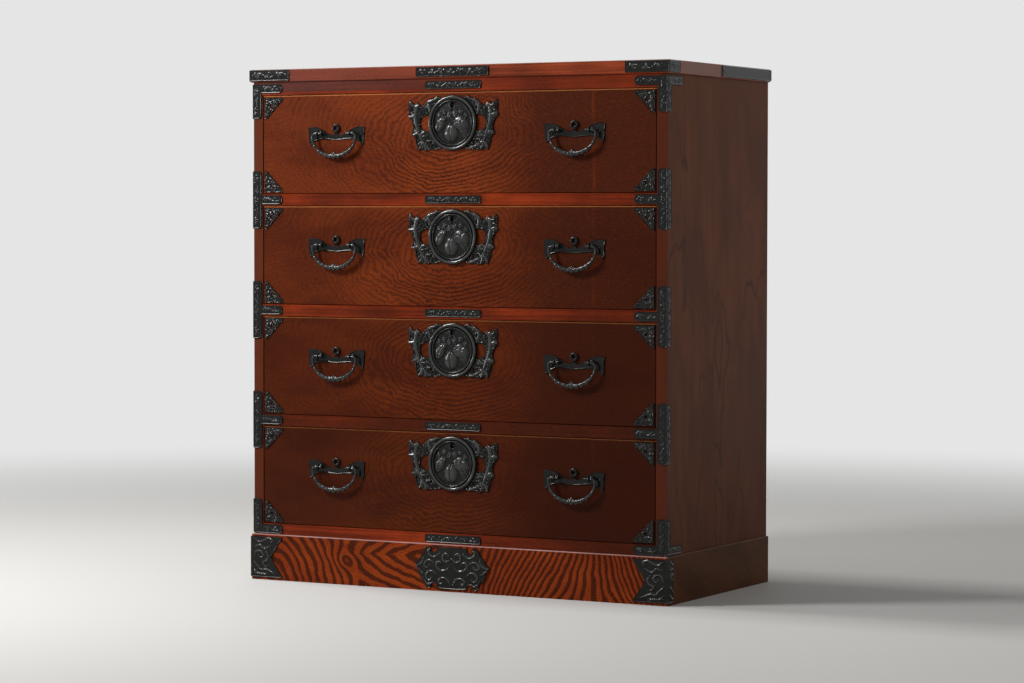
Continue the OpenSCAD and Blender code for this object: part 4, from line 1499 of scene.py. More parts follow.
@dataclass(frozen=True)
class Scrollwork:
    """Long flowing scrolls, laid out one by one on the wide plinth plate and on the corner plates."""

    wide: float = 90.0
    flows: tuple[Path, ...] = (
        ((2.0, -21.0), (7.0, -14.0), (14.0, -12.5), (19.0, -16.5), (16.0, -20.5), (12.0, -18.0)),
        ((1.5, 4.0), (8.0, -2.5), (16.0, -3.0), (22.0, 1.5), (21.0, 7.0), (16.0, 7.5), (15.0, 3.5)),
        ((0.5, 12.0), (7.0, 8.0), (12.5, 10.5), (12.0, 16.5), (6.5, 18.5), (4.5, 14.5)),
        ((17.0, 18.5), (24.0, 14.0), (31.0, 15.5), (34.0, 20.5), (30.5, 23.5), (27.0, 20.5)),
        ((22.0, -9.0), (28.0, -4.5), (35.0, -6.5), (37.5, -12.5), (32.5, -16.0), (28.5, -12.5)),
        ((25.0, 5.0), (31.0, 9.0), (37.5, 7.5), (40.0, 2.0), (35.5, -0.5), (32.0, 2.5)),
        ((41.0, 11.5), (43.0, 5.5), (48.5, 2.5), (52.0, 0.5), (47.5, -3.5), (42.0, -7.0)),
        ((22.0, -21.5), (28.0, -20.0), (34.0, -21.5), (38.5, -18.0), (41.5, -12.5)))
    corner: tuple[Path, ...] = (
        ((6.0, 51.0), (13.0, 46.5), (21.0, 48.5), (27.0, 51.5), (34.0, 49.0), (31.0, 45.0)),
        ((7.0, 40.0), (15.0, 41.5), (22.0, 37.5), (28.0, 40.0), (33.0, 43.0)),
        ((6.0, 27.0), (9.0, 33.5), (16.0, 34.0), (19.5, 29.0), (15.5, 25.5), (12.0, 28.5)),
        ((24.0, 33.0), (27.5, 27.5), (24.5, 22.0), (19.0, 20.0), (22.0, 15.5), (28.0, 15.0)),
        ((6.0, 19.5), (11.0, 15.0), (16.0, 10.0), (23.0, 10.5), (30.0, 8.0), (37.0, 5.5)),
        ((6.0, 9.0), (10.5, 5.0), (18.0, 4.5), (26.0, 3.5)))
    thick: float = 1.15
    height: float = 1.6

    def __call__(self, loops: Loops) -> list[Stroke]:
        """Draws the scrolls.

        Args:
            loops: The plate's outline.

        Returns:
            The strokes.
        """
        low, high = loops[0].min(0), loops[0].max(0)
        middle = (low + high) / 2
        if high[0] - low[0] > self.wide:
            return [self._flow(flow, middle, way) for way in (-1.0, 1.0) for flow in self.flows]
        way = -1.0 if middle[0] > 0 else 1.0
        start = np.array([high[0] if way < 0 else low[0], low[1]])
        return [self._flow(flow, start, way) for flow in self.corner]

    def _flow(self, flow: Path, start: np.ndarray, way: float) -> Stroke:
        """Draws one scroll, which swells towards its middle.

        Args:
            flow: Its points.
            start: What they are measured from.
            way: -1.0 mirrors it.

        Returns:
            The stroke.
        """
        path = smoothed(np.array(flow) * [way, 1.0], 8) + start
        swell = self.thick * (0.45 + 0.75 * np.sin(np.linspace(0.12, 0.92, len(path)) * math.pi))
        return Stroke(path, swell, self.height)


@dataclass(frozen=True)
class LeafyWing:
    """Leaves that run from a curved spine out to the tips of the outline."""

    spine: Path = ((20.0, 33.0), (33.0, 27.5), (44.0, 25.0), (53.0, 21.0), (55.0, 10.0), (53.5, 0.0),
                   (50.0, -11.0), (45.0, -22.0), (36.0, -28.5), (24.0, -32.5))
    sharp: float = 28.0
    shortest: float = 2.0

    def __call__(self, loops: Loops) -> list[Stroke]:
        """Draws the leaves, which grow from the spine.

        Args:
            loops: The wing's outline.

        Returns:
            The strokes.
        """
        middle = np.concatenate(loops).mean(0)
        way = 1.0 if middle[0] > 0 else -1.0
        spine = resampled(np.array(self.spine) * [way, 1.0], 1.5)
        spine = spine[: max(2, int(len(spine) * 0.5))]
        swell = 1.2 + 1.3 * np.sin(np.linspace(0.15, 0.9, len(spine)) * math.pi)
        strokes = [Stroke(spine, swell, 1.9)]
        for loop in loops:
            before, after = loop - np.roll(loop, 1, 0), np.roll(loop, -1, 0) - loop
            cross = before[:, 0] * after[:, 1] - before[:, 1] * after[:, 0]
            turn = np.degrees(np.arctan2(cross, (before * after).sum(1)))
            for tip in loop[turn > self.sharp]:
                root = spine[np.linalg.norm(spine - tip, axis=1).argmin()]
                side = tip - root
                length = float(np.linalg.norm(side))
                if length < self.shortest:
                    continue
                angle = math.degrees(math.atan2(side[1], side[0]))
                strokes.append(leaf(root, angle + 22.0, length, 1.9, -44.0, 1.7))
                strokes.append(leaf(root, angle - 40.0, length * 0.6, 1.0, 40.0, 1.2))
        return strokes


@dataclass(frozen=True)
class Blob:
    """A rounded raised shape on the lock plate's disc."""

    center: tuple[float, float]
    half: tuple[float, float]
    angle: float
    height: float
    taper: float = 0.0

    def raise_over(self, points: np.ndarray, heights: np.ndarray, ground: np.ndarray) -> None:
        """Raises the heights under the shape.

        Args:
            points: Places in the plane.
            heights: Their heights, changed in place.
            ground: The heights of the ground.
        """
        c, s = math.cos(math.radians(self.angle)), math.sin(math.radians(self.angle))
        place = points - np.array(self.center)
        u = (place[:, 0] * c + place[:, 1] * s) / self.half[0]
        v = (-place[:, 0] * s + place[:, 1] * c) / self.half[1]
        narrow = 1.0 - self.taper * np.clip(u, -1.0, 1.0)
        share = u * u + (v / np.maximum(narrow, 0.15)) ** 2
        lift = self.height * np.clip(1.0 - share, 0.0, 1.0) ** 0.45
        np.maximum(heights, np.where(share < 1.0, ground + lift, -9.0), out=heights)


@dataclass(frozen=True)
class Vein:
    """A groove in the relief."""

    path: Path
    width: float
    depth: float

    def cut(self, points: np.ndarray, heights: np.ndarray) -> None:
        """Lowers the heights along the groove.

        Args:
            points: Places in the plane.
            heights: Their heights, changed in place.
        """
        corners = np.array(self.path, float)
        steps = [a + (b - a) * t for a, b in zip(corners[:-1], corners[1:]) for t in np.linspace(0, 1, 8)]
        gap = np.linalg.norm(points[:, None, :] - np.array(steps)[None, :, :], axis=2).min(1)
        heights -= self.depth * np.exp(-(gap / self.width) ** 2)


@dataclass
class LockPlate(ReliefPlate):
    """A drawer's lock plate: leafy wings, a raised ring, and a domed disc with fruit and leaves."""

    center_z: float = 593.5
    ground: Scatter = Scatter(3.4, 2.3, 1.1)
    ring: tuple[float, float, float] = (32.4, 2.6, 3.5)  # middle, half width and height
    inner_ring: tuple[float, float, float] = (28.3, 1.2, 2.9)
    ring_out: float = 35.0
    dome_r: float = 28.2
    dome_h: float = 3.2
    highest: float = 4.4
    # The disc's heights for its wear and for its painted highlight.
    bare_and_sheen: tuple[float, float] = (1.5, 3.6)
    key_at: tuple[float, float] = (0.0, 23.0)
    key_r: float = 3.3
    berries: Path = ((-12.0, 13.0), (13.0, 14.0), (4.5, 10.5), (-5.0, 9.5), (19.5, 8.5), (-20.0, 9.0))
    fruit: tuple[Blob, ...] = (
        Blob((14.0, -1.5), (12.0, 8.6), -24.0, 2.3, 0.15),
        Blob((18.0, -11.5), (8.0, 5.6), -62.0, 1.8, 0.3),
        Blob((-18.0, -2.5), (10.5, 6.4), 62.0, 2.4, -0.15),
        Blob((-15.0, 3.0), (7.4, 4.4), 24.0, 2.8, 0.2),
        Blob((-1.5, -12.8), (11.6, 9.6), 94.0, 3.0, 0.14),
    )
    veins: tuple[Vein, ...] = (
        Vein(((-1.2, -1.5), (-2.6, -7.0), (-2.8, -14.0), (-1.6, -23.0)), 0.65, 1.5),
        Vein(((-6.0, -5.5), (-8.0, -12.0), (-6.0, -19.0)), 0.4, 0.5),
        Vein(((3.0, -5.5), (5.4, -12.0), (4.0, -19.0)), 0.4, 0.5),
        Vein(((2.0, 0.5), (8.0, 2.0), (16.0, 0.0), (24.0, -6.0)), 0.5, 1.0),
        Vein(((8.0, 2.0), (11.0, 5.6)), 0.4, 0.6), Vein(((13.0, 1.2), (17.0, 4.2)), 0.4, 0.6),
        Vein(((8.0, 2.0), (10.5, -4.0)), 0.4, 0.6), Vein(((14.0, 0.6), (16.0, -5.5)), 0.4, 0.6),
        Vein(((14.0, -6.0), (18.0, -11.0), (21.0, -17.0)), 0.5, 1.0),
        Vein(((17.0, -9.5), (22.0, -10.0)), 0.35, 0.5), Vein(((18.5, -12.5), (16.0, -16.0)), 0.35, 0.5),
        Vein(((-12.5, 6.0), (-17.0, 0.0), (-20.5, -8.0)), 0.5, 1.2),
        Vein(((-15.0, 3.0), (-20.5, 2.5)), 0.4, 0.7), Vein(((-18.0, -3.0), (-14.0, -6.5)), 0.4, 0.7),
        Vein(((0.0, 19.5), (-0.6, 15.0)), 0.9, 1.6),
    )

    def build(self, soup: Soup) -> int:
        """Adds the wings and the disc.

        Args:
            soup: Where the shapes go.

        Returns:
            How many shapes the plate has.
        """
        around = outlines(self.node, self.side, self.level)
        for loops in around:
            shifted = [loop - [0.0, self.center_z] for loop in loops]
            strokes = self.ornament(shifted) + self.ground(shifted)
            self.chase(soup, loops, moved(strokes, (0.0, self.center_z)))
        turn = np.linspace(0, FULL_TURN, 132, endpoint=False)
        rim, key = circle(turn) * self.ring_out, circle(-turn[::4]) * self.key_r + self.key_at
        offset = [0.0, self.center_z]
        self.emboss(soup, [rim + offset, key + offset], self.disc_heights, self.bare_and_sheen)
        return len(around) + 1

    def disc_heights(self, points: np.ndarray) -> np.ndarray:
        """How far each point of the ring and the domed disc stands in front of the sheet's plane.

        Args:
            points: Places in the plane, in millimetres.

        Returns:
            The heights.
        """
        at = points - np.array([0.0, self.center_z])
        reach = np.linalg.norm(at, axis=1)
        ball = (self.dome_r ** 2 + self.dome_h ** 2) / (2 * self.dome_h)
        dome = np.sqrt(np.maximum(ball ** 2 - reach ** 2, 0.0)) - (ball - self.dome_h)
        across = np.sin(at[:, 0] * 5.1 + np.sin(at[:, 1] * 1.7))
        spots = across * np.sin(at[:, 1] * 4.7 + np.sin(at[:, 0] * 2.1))
        ground = 0.25 + 0.34 * dome + 0.15 * spots
        height = ground.copy()
        for blob in self.fruit:
            blob.raise_over(at, height, 0.25 + 0.34 * dome)
        rng = np.random.default_rng(SEED)
        petals = [(2.1 * math.cos(a), 2.1 * math.sin(a)) for a in (0.3, 1.6, 2.8, 4.1, 5.3)]
        for x, z in self.berries:
            for dx, dz in (*petals, (0.0, 0.0)):
                size = rng.uniform(1.2, 1.8)
                berry = Blob((x + dx, z + dz), (size, size), 0.0, rng.uniform(1.0, 1.6))
                berry.raise_over(at, height, ground)
        for vein in self.veins:
            vein.cut(at, height)
        edge = np.linalg.norm(at - np.array(self.key_at), axis=1) - self.key_r
        height += 0.5 * np.exp(-((edge - 1.0) / 0.7) ** 2)
        for middle, half, top in (self.ring, self.inner_ring):
            swell = np.sqrt(np.clip(1.0 - ((reach - middle) / half) ** 2, 0.0, 1.0))
            height = np.where(swell > 0, np.maximum(height, top * swell), height)
        middle, half, top = self.ring
        outside = top * np.sqrt(np.clip(1.0 - ((reach - middle) / (half + 0.05)) ** 2, 0.0, 1.0))
        height = np.where(reach > middle + 0.6, outside, height)
        return np.minimum(height, self.highest)


@dataclass
class HandleMount:
    """What holds a bail on its back plate: a ring with a bead over the middle, and two eyes with collars."""

    x: float
    pivot_y: float
    z: float
    plate_y: float = -144.6
    eyes_apart: float = 48.6
    ring: tuple[float, float, float] = (4.0, 1.75, 6.8)
    eye: tuple[float, float] = (2.45, 0.95)

    def build(self, soup: Soup) -> None:
        """Adds the parts.

        Args:
            soup: Where the shapes go.
        """
        radius, bar, rise = self.ring
        self._add(soup, torus(radius, bar, False, 40), self.x, self.plate_y - 0.55, self.z + rise)
        bead = lathe([(0.5, -1.0), (1.5, 0.0), (1.75, 1.1), (1.3, 2.0), (0.5, 2.35)], 16)
        self._add(soup, bead, self.x + 1.2, self.plate_y - 0.2, self.z + rise - radius + 1.0)
        for side in (-0.5, 0.5):
            x = self.x + side * self.eyes_apart
            self._add(soup, torus(*self.eye, True, 28), x, self.pivot_y, self.z)
            collar = lathe([(3.1, -0.6), (3.2, 0.1), (2.9, 0.6), (2.2, 0.9), (1.75, 1.2), (1.7, 2.6)], 24)
            self._add(soup, collar, x, self.plate_y, self.z)

    @staticmethod
    def _add(soup: Soup, shape: Shape, x: float, y: float, z: float) -> None:
        """Adds a shape at a place."""
        points, faces = shape
        soup.add((points + [x, y, z]) * MM, faces)


@dataclass
class Bail:
    """A swinging handle: pins, elbows, thin limbs, a thicker leafy grip with claws, finial and knob."""

    pin_from: float = 19.3
    half: float = 32.5
    drop: float = 29.0
    elbow_r: float = 4.3
    side_turn: float = 54.0
    thin: float = 1.65
    thick: float = 2.45
    voxel: float = 0.3
    # The whole bail gets this share: rubbed iron, and a lighter colour as a painted highlight.
    wear_and_sheen: float = 0.55

    @property
    def side_r(self) -> float:
        """The radius of the tighter arc at each side."""
        turn = math.radians(self.side_turn)
        share = (1.0 - math.sin(turn)) / math.cos(turn)
        return (self.drop - self.elbow_r - share * self.half) / (1.0 - share)

    @property
    def grip_r(self) -> float:
        """The radius of the flatter arc at the bottom."""
        return self.side_r + (self.half - self.side_r) / math.cos(math.radians(self.side_turn))

    def build(self) -> bpy.types.Mesh:
        """Makes the bail around the middle of its pins, fused to one skin.

        Returns:
            The mesh, in metres.
        """
        soup = Soup()
        path = [self._arc((self.half - self.elbow_r, -self.elbow_r), self.elbow_r, 90.0, 6.0, 8),
                self._arc((self.half - self.side_r, -self.elbow_r), self.side_r, 0.0,
                          -self.side_turn + 2.0, 18),
                self._arc((0.0, self.grip_r - self.drop), self.grip_r, -self.side_turn, -90.0, 20)]
        half = np.concatenate([[[self.pin_from, 0.0]], *path])
        depth = -half[:, 1] / self.drop
        swell = np.clip((depth - 0.50) / 0.34, 0.0, 1.0)
        radius = self.thin + (self.thick - self.thin) * swell * swell * (3.0 - 2.0 * swell)
        radius = radius + 0.5 * np.exp(-((depth - 0.56) / 0.03) ** 2)
        path = np.concatenate([half, (half * [-1.0, 1.0])[-2::-1]])
        soup.add(*tube(path, np.concatenate([radius, radius[-2::-1]]), 16))
        for way in (-1.0, 1.0):
            end = lathe([(1.2, -1.3), (2.2, -0.7), (2.3, 0.3), (1.5, 1.1)], 16)
            turned = end[0][:, [1, 0, 2]] * [-way, 1.0, 1.0]
            soup.add(turned + [way * self.pin_from, 0, 0], end[1] if way > 0 else [f[::-1] for f in end[1]])
            self._claws(soup, way)
        self._finial(soup)
        return self._fused(soup)

    @staticmethod
    def _arc(center: tuple[float, float], radius: float, start: float, end: float, steps: int) -> np.ndarray:
        """Points on an arc."""
        return np.array(center) + radius * circle(np.radians(np.linspace(start, end, steps)))

    def _on(self, angle: float, out: float, way: float) -> np.ndarray:
        """A point near the bottom curve.

        Args:
            angle: Its angle from the lowest point, in degrees.
            out: Its distance outside the curve.
            way: Which side it is on.

        Returns:
            X and Z.
        """
        a = math.radians(angle)
        reach = self.grip_r + out
        return np.array([way * reach * math.sin(a), self.grip_r - self.drop - reach * math.cos(a)])

    def _claws(self, soup: Soup, way: float) -> None:
        """Adds the claws and leaf folds of one side.

        Args:
            soup: Where they go.
            way: Which side.
        """
        for angle in (10.0, 20.0, 30.0):
            path = [self._on(angle + ahead, out, way) for ahead, out in ((4.5, 0.2), (2.0, 1.7), (-0.5, 2.6),
                                                                         (-3.0, 2.75))]
            points, faces = tube(np.array(path), np.array([1.5, 1.25, 0.95, 0.5]), 10)
            for depth in (-0.9, 0.9):
                soup.add(points + [0.0, depth, 0.0], faces)
        for angle in (6.0, 14.5, 24.5, 33.0):
            for depth in (-1.7, 1.7):
                spot = self._on(angle, -0.2, way)
                ball = lathe([(0.3, -1.0), (0.85, -0.6), (1.0, 0.0), (0.85, 0.6), (0.3, 1.0)], 10)
                soup.add(ball[0] * [1.8, 1.1, 1.2] + [spot[0], depth, spot[1]], ball[1])

    def _finial(self, soup: Soup) -> None:
        """Adds the small flower inside the lowest point and the knob under it.

        Args:
            soup: Where they go.
        """
        low = -self.drop
        for x, z, size in ((0.0, 4.0, 1.75), (-2.7, 2.3, 1.6), (2.7, 2.3, 1.6), (0.0, 1.4, 2.5),
                           (0.0, -2.2, 2.3), (-3.6, -0.4, 1.5), (3.6, -0.4, 1.5)):
            turn = np.linspace(-0.5 * math.pi, 0.5 * math.pi, 9)
            ball = lathe([(max(size * math.cos(a), 0.05), size * math.sin(a)) for a in turn], 14)
            soup.add(ball[0] + [x, 0.0, low + z], ball[1])

    def _fused(self, soup: Soup) -> bpy.types.Mesh:
        """Fuses overlapping shapes to one skin.

        Args:
            soup: The shapes, in millimetres.

        Returns:
            The fused mesh, in metres.
        """
        holder = put("bail_form", soup.mesh("bail_form"))
        fuse = holder.modifiers.new("Fuse", "REMESH")
        fuse.mode = "VOXEL"
        fuse.voxel_size = self.voxel
        soften = holder.modifiers.new("Soften", "SMOOTH")
        soften.factor, soften.iterations = 0.5, 2
        mesh = baked(holder, "bail")
        mesh.transform(Matrix.Scale(MM, 4))
        mark(mesh, WEAR_AND_SHEEN, np.full(len(mesh.vertices), self.wear_and_sheen))
        mesh.shade_smooth()
        return mesh


def copied(mesh: bpy.types.Mesh, name: str, offset: Sequence[float]) -> bpy.types.Mesh:
    """A moved copy of a mesh.

    Args:
        mesh: The mesh.
        name: The copy's name.
        offset: How far it is moved, in metres.

    Returns:
        The copy.
    """
    other = mesh.copy()
    other.name = name
    other.transform(Matrix.Translation(Vector(offset)))
    return other


def nails_of(node: str, largest: float) -> tuple[np.ndarray, np.ndarray, np.ndarray]:
    """Finds the nail heads among the solids of a node.

    Args:
        node: The node.
        largest: The size up to which a solid is a nail head, in metres.

    Returns:
        Where each stands, its facing and its diameter.
    """
    places, facings, sizes = [], [], []
    for cloud in solids(node):
        low, high = cloud.min(0), cloud.max(0)
        size = high - low
        if size.max() > largest:
            continue
        axis = int(size.argmin())
        facing = np.zeros(3)
        facing[axis] = -1.0 if axis == 1 or low[axis] < 0 else 1.0
        place = (low + high) / 2
        place[axis] = high[axis] if facing[axis] < 0 else low[axis]
        places.append(place)
        facings.append(facing)
        sizes.append(size.max())
    return np.array(places), np.array(facings), np.array(sizes)


@dataclass
class Ironwork:
    """All the black iron that shows: plates, locks, handles and nails, made once and copied per drawer."""

    iron: bpy.types.Material
    front: float = 0.145
    slab_front: float = 0.1475
    plinth_front: float = 0.147
    drawer_front: float = 0.1446
    flank: float = 0.301
    slab_flank: float = 0.3045
    plinth_flank: float = 0.304
    flank_limit: float = 0.88
    rear_plates: float = 120.0
    handle_x: float = 173.0
    pivot_y: float = -150.6
    pivot_z: float = 582.1

    def build(self) -> None:
        """Makes every piece."""
        self._plates("top_board_plates", self.slab_front, self.slab_flank, strip_scrolls)
        self._plates("frame_brackets", self.front, self.flank, bracket_scrolls)
        self._plates("rail_strips", self.front, 0.0, strip_scrolls)
        self._plates("plinth_plates", self.plinth_front, self.plinth_flank, Scrollwork())
        studs = StudField(self.iron)
        mesh = studs.place("carcass_studs", *nails_of("carcass_nails", 0.004))
        finish_piece("carcass_studs", mesh, self.iron, "carcass", "carcass_nails")
        self._drawers(studs)

    def _plates(self, node: str, front: float, flank: float, ornament: Ornament) -> None:
        """Makes the chased plates of one node of the carcass.

        Args:
            node: The node.
            front: The front plates' distance from the middle.
            flank: The side plates' distance from the middle, or 0 if there are none.
            ornament: What draws their ornament. Side plates at the rear stay plain.
        """
        soup = Soup()
        count = ReliefPlate(node, Side.FRONT, front, ornament=ornament).build(soup)
        for side, way in ((Side.RIGHT, 1.0), (Side.LEFT, -1.0)) if flank else ():
            drawn = self._plain_at_rear(ornament, way)
            count += ReliefPlate(node, side, flank, ornament=drawn, limit=self.flank_limit).build(soup)
        LOG.info("%s: %d chased faces", node, count)
        finish_piece(node + "_chased", soup.mesh(node + "_chased"), self.iron, "carcass", node)

    def _plain_at_rear(self, ornament: Ornament, way: float) -> Ornament:
        """Leaves side plates towards the rear without ornament."""
        return lambda loops: [] if (way * loops[0][:, 0]).max() > self.rear_plates else ornament(loops)

    def _drawers(self, studs: StudField) -> None:
        """Makes the iron of the top drawer and its copies on the others.

        Args:
            studs: What makes the nail heads.
        """
        plates, lock = Soup(), Soup()
        corner = Scatter(4.0, 2.5, 1.0)
        for loops in outlines("drawer_1_fittings", Side.FRONT, self.drawer_front):
            size = np.ptp(loops[0], axis=0)
            square = 0.8 < size[0] / size[1] < 1.25 and size[0] > 15.0
            rim = 0.3 if square else 0.5
            plate = ReliefPlate("drawer_1_fittings", Side.FRONT, self.drawer_front, rim=rim)
            plate.chase(plates, loops, corner(loops) if square else [])
        for way in (-1.0, 1.0):
            HandleMount(way * self.handle_x, self.pivot_y, self.pivot_z).build(plates)
        LockPlate("drawer_1_lock_plate", Side.FRONT, self.drawer_front, grid=0.55,
                  ornament=LeafyWing()).build(lock)
        heads = studs.place("drawer_studs", *nails_of("drawer_1_fittings", 0.003))
        made = {"plates_chased": (plates.mesh("plates"), "fittings"),
                "lock_chased": (lock.mesh("lock"), "lock_plate"), "studs": (heads, "")}
        bail = Bail().build()
        for k in range(1, DRAWERS + 1):
            body, drop = f"drawer_{k}", -PITCH * (k - 1)
            for key, (mesh, stands_for) in made.items():
                name = f"{body}_{key}"
                nodes = [f"{body}_{stands_for}"] if stands_for else []
                finish_piece(name, copied(mesh, name, (0, 0, drop)), self.iron, body, *nodes)
            for side, way in (("left", -1.0), ("right", 1.0)):
                name = f"bail_{k}_{side}"
                at = (way * self.handle_x * MM, self.pivot_y * MM, self.pivot_z * MM + drop)
                finish_piece(name + "_forged", copied(bail, name, at), self.iron, name, f"{body}_bail_{side}")


@dataclass
class Studio:
    """The pale floor and backdrop, the soft lights and the camera."""

    backdrop: Color = (0.78, 0.785, 0.78)
    floor: Color = (0.52, 0.515, 0.50)
    speckle: Color = (0.45, 0.445, 0.43)
    ambient: float = 0.19
    camera_at: tuple[float, float, float] = (1.9626, -3.5622, 0.4716)
    pitch: float = -2.235
    yaw: float = 28.778
    roll: float = 0.069
    lens: float = 109.70
    sensor: float = 36.0
    floor_reach: float = 40.0
    horizon: tuple[float, float] = (0.9, 2.6)  # where the floor begins and ends to turn into the backdrop

    def build(self) -> None:
        """Makes everything around the object."""
        self._floor()
        self._world()
        for lamp in (("key", (-1.0, -1.05, 1.25), (0.0, 0.0, 0.42), 0.36, 27.0),
                     ("over", (-1.35, -0.09, 2.75), (0.0, 0.0, 0.60), 0.55, 48.0),
                     ("fill", (1.7, 0.5, 1.7), (0.3, 0.0, 0.5), 0.9, 4.2),
                     ("edge", (-2.1, -0.75, 0.62), (0.0, -0.15, 0.35), 0.32, 9.0)):
            self._area(*lamp)
        self._camera()

    def _floor(self) -> None:
        """Makes the floor. Far off it turns into the backdrop for what looks at it, but not for the light."""
        mesh = bpy.data.meshes.new("floor")
        reach = self.floor_reach
        corners = [(-reach, -reach, 0), (reach, -reach, 0), (reach, reach, 0), (-reach, reach, 0)]
        mesh.from_pydata(corners, [], [(0, 1, 2, 3)])
        floor = put("floor", mesh)
        material = bpy.data.materials.new("pale_floor")
        graph = Graph(material)
        x, y, z = graph.place()
        speckle = graph.noise((x, y, z), 4.0, scale=60.0)
        base = graph.mix(speckle * 0.12, self.floor, self.speckle)
        ground = graph.add("ShaderNodeBsdfPrincipled", values={
            "Base Color": base, "Roughness": 0.7, "Specular IOR Level": 0.2})
        glow = graph.add("ShaderNodeEmission", values={"Color": (*self.backdrop, 1.0), "Strength": 1.0})
        far = (x * x + y * y).math("SQRT").smooth(*self.horizon)
        shader = graph.add("ShaderNodeMixShader", values={0: far * self._looks(graph), 1: ground, 2: glow})
        graph.add("ShaderNodeOutputMaterial", values={"Surface": shader})
        mesh.materials.append(material)

    @staticmethod
    def _looks(graph: Graph) -> Signal:
        """1 for rays from the camera and their reflections and refractions."""
        straight, glossy, through = (graph.add("ShaderNodeLightPath", output=f"Is {kind} Ray")
                                     for kind in ("Camera", "Glossy", "Transmission"))
        return (straight + glossy + through).math("MINIMUM", 1.0)

    def _world(self) -> None:
        """Makes the world: the backdrop for what looks at it, and a weaker light on everything."""
        world = bpy.data.worlds.new("studio")
        bpy.context.scene.world = world
        graph = Graph(world)
        seen = graph.add("ShaderNodeBackground", values={"Color": (*self.backdrop, 1.0), "Strength": 1.0})
        light = graph.add("ShaderNodeBackground", values={"Color": (1.0, 0.98, 0.95, 1.0),
                                                          "Strength": self.ambient})
        shader = graph.add("ShaderNodeMixShader", values={0: self._looks(graph), 1: light, 2: seen})
        graph.add("ShaderNodeOutputWorld", values={"Surface": shader})

    @staticmethod
    def _area(name: str, at: Sequence[float], aim: Sequence[float], size: float, power: float) -> None:
        """Adds a soft light.

        Args:
            name: Its name.
            at: Where it stands.
            aim: What it points at.
            size: The side of its square, in metres.
            power: Its power in watts.
        """
        light = bpy.data.lights.new(name, "AREA")
        light.size, light.energy = size, power
        lamp = put(name, light)
        lamp.location = at
        lamp.rotation_euler = (Vector(aim) - Vector(at)).to_track_quat("-Z", "Y").to_euler()
        lamp.visible_camera = False

    def _camera(self) -> None:
        """Adds the camera and the plain view transform."""
        camera = bpy.data.cameras.new("camera")
        camera.sensor_width, camera.lens = self.sensor, self.lens
        holder = put("camera", camera)
        turn = Matrix.Identity(4)
        for angle, axis in ((self.yaw, "Z"), (90.0 + self.pitch, "X"), (self.roll, "Z")):
            turn @= Matrix.Rotation(math.radians(angle), 4, axis)
        holder.matrix_world = Matrix.Translation(self.camera_at) @ turn
        scene = bpy.context.scene
        scene.camera = holder
        scene.view_settings.view_transform = "Standard"


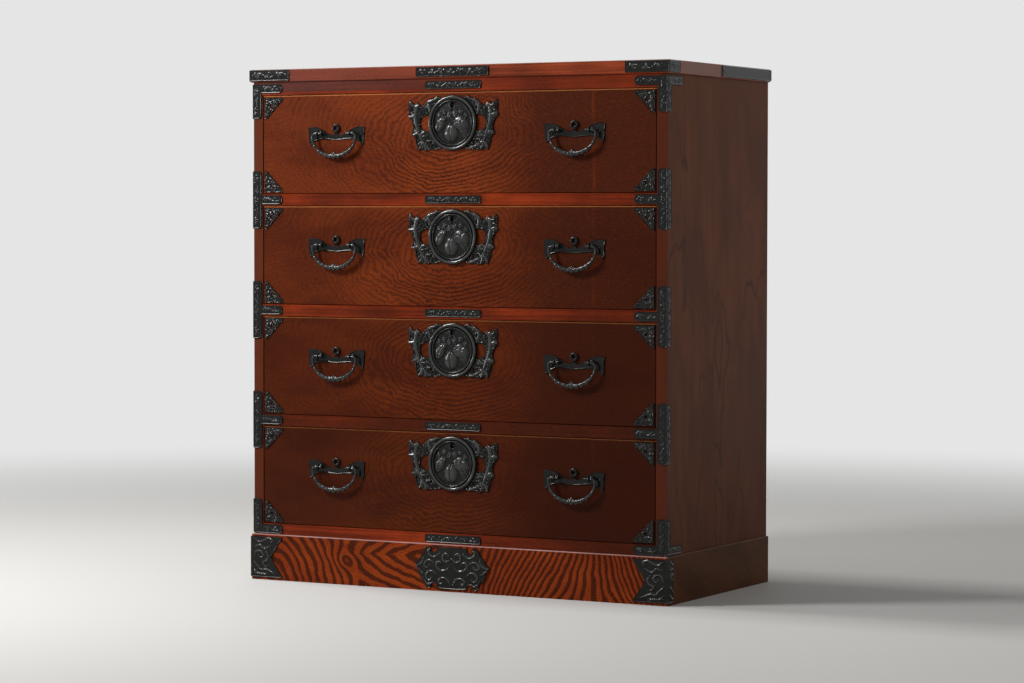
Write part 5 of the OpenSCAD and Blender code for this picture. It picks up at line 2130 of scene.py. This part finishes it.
@dataclass
class Woodwork:
    """The finishes of all the boards, and of the lock parts inside the drawers."""

    iron: bpy.types.Material
    # Painted shade: how dark each drawer's colours are, from the top down, for its distance from the light.
    painted_shade_by_drawer: tuple[float, ...] = (1.02, 0.86, 0.59, 0.44)
    eye_z: float = 0.5815
    front_top: float = 0.6321
    knots: tuple[Hill, ...] = ((0.082, 0.430, 0.022, 0.045, 3.6), (0.066, 0.364, 0.016, 0.026, 3.0),
                               (-0.020, 0.372, 0.060, 0.012, 1.2), (0.010, 0.150, 0.050, 0.120, 2.4))
    swirls: tuple[Hill, ...] = ((-0.158, 0.034, 0.022, 0.014, 1.5), (0.290, 0.010, 0.060, 0.030, 1.5))

    def build(self) -> None:
        """Dresses every node that shows its own shape."""
        along_x, along_y = PlainWood("plain_wood_x", True).build(), PlainWood("plain_wood_y", False).build()
        for material, nodes in ((self._rail(), ("bottom_board", "front_rails")),
                                (self._top(), ("top_board",)),
                                (self._side(), ("side_panel_left", "side_panel_right")),
                                (self._foot(), ("plinth_front",)), (self._foot_side(), ("plinth_sides",)),
                                (along_x, ("back_panel", "rear_rails", "drawer_stops", "plinth_back")),
                                (along_y, ("runners", "dust_panels", "plinth_blocks"))):
            for node in nodes:
                dress(node, material)
        for k in range(1, DRAWERS + 1):
            self._drawer(k, along_x, along_y)

    def _rail(self) -> bpy.types.Material:
        """Makes the finish of the rails and the bottom board."""
        return LacqueredWood("rail_wood", Figure.ALONG_X, mid=(0.160, 0.0190, 0.0050), contrast=0.5,
                             light=(0.300, 0.0370, 0.0080), flecks=0.2, dull=(0.058, 0.0240, 0.0200)).build()

    def _side(self) -> bpy.types.Material:
        """Makes the finish of the side panels."""
        return LacqueredWood("side_wood", Figure.ALONG_Z, dark=(0.060, 0.0200, 0.0080), ring=24.0 * MM,
                             mid=(0.108, 0.032, 0.0115), light=(0.168, 0.050, 0.0185), contrast=0.32,
                             deep=(0.022, 0.0085, 0.0050), gloss=0.03, front=(0.078, 0.0160, 0.0080),
                             flecks=0.14, hills=self.knots).build()

    def _top(self) -> bpy.types.Material:
        """Makes the finish of the top board."""
        return LacqueredWood("top_wood", Figure.ALONG_X, mid=(0.215, 0.0370, 0.0130), ring=9.0 * MM,
                             light=(0.400, 0.0700, 0.0250), contrast=0.45, patches=0.25, flecks=0.2,
                             # The flank colour is a painted sheen on the top board's ends.
                             dull=(0.125, 0.0340, 0.0230), flank=(0.34, 0.225, 0.190)).build()

    def _foot(self) -> bpy.types.Material:
        """Makes the finish of the plinth's front."""
        return LacqueredWood("plinth_wood", Figure.CONTOURS, eye=(0.200, 0.060), ring=12.3 * MM,
                             dark=(0.026, 0.0056, 0.0026), mid=(0.190, 0.025, 0.0038),
                             light=(0.300, 0.047, 0.0065), contrast=1.2, hills=self.swirls,
                             # The edge colour is a painted reflection along the plinth's rounded top edge.
                             early=(0.20, 0.44), late=(0.68, 0.94), edge=(0.46, 0.26, 0.24),
                             painted_highlight_z=0.060).build()

    def _foot_side(self) -> bpy.types.Material:
        """Makes the finish of the plinth's sides."""
        return LacqueredWood("plinth_side_wood", Figure.ALONG_Y, dark=(0.030, 0.0115, 0.0060),
                             mid=(0.080, 0.030, 0.0120), light=(0.118, 0.044, 0.0170), gloss=0.03,
                             contrast=0.7).build()

    def _drawer(self, k: int, along_x: bpy.types.Material, along_y: bpy.types.Material) -> None:
        """Dresses one drawer. The lower ones lie farther from the light, so their colours are darker as
        painted shade.

        Args:
            k: Its number from the top.
            along_x: Plain wood with its grain along the width.
            along_y: Plain wood with its grain along the depth.
        """
        # The lower drawers' colours are darkened as painted shade.
        painted_shade_share, drop = self.painted_shade_by_drawer[k - 1], PITCH * (k - 1)
        colors = {name: tuple(c * share for c in value) for name, value, share in
                  (("mid", (0.098, 0.0148, 0.0034), painted_shade_share), ("light", (0.185, 0.0320, 0.0060), painted_shade_share),
                   # The edge colour is a painted highlight along each drawer's top edge.
                   ("bright", (0.280, 0.0520, 0.0080), painted_shade_share), ("edge", (0.46, 0.16, 0.05), painted_shade_share),
                   ("deep", (0.043, 0.0080, 0.0026), 0.4 + 0.6 * painted_shade_share))}
        front = LacqueredWood(f"drawer_{k}_wood", Figure.OVALS, eye=(0.0, self.eye_z - drop), shift=0.013 * k,
                              painted_highlight_z=self.front_top - drop, **colors).build()
        for part, material in (("front", front), ("sides", along_y), ("back", along_x), ("bottom", along_x),
                               ("lock_case", self.iron), ("lock_bolt", self.iron)):
            dress(f"drawer_{k}_{part}", material)


def main() -> None:
    """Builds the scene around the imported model."""
    logging.basicConfig(level=logging.INFO, format="%(name)s: %(message)s")
    iron = BlackIron("black_iron").build()
    Woodwork(iron).build()
    Ironwork(iron).build()
    Studio().build()


if __name__ == "__main__":
    main()
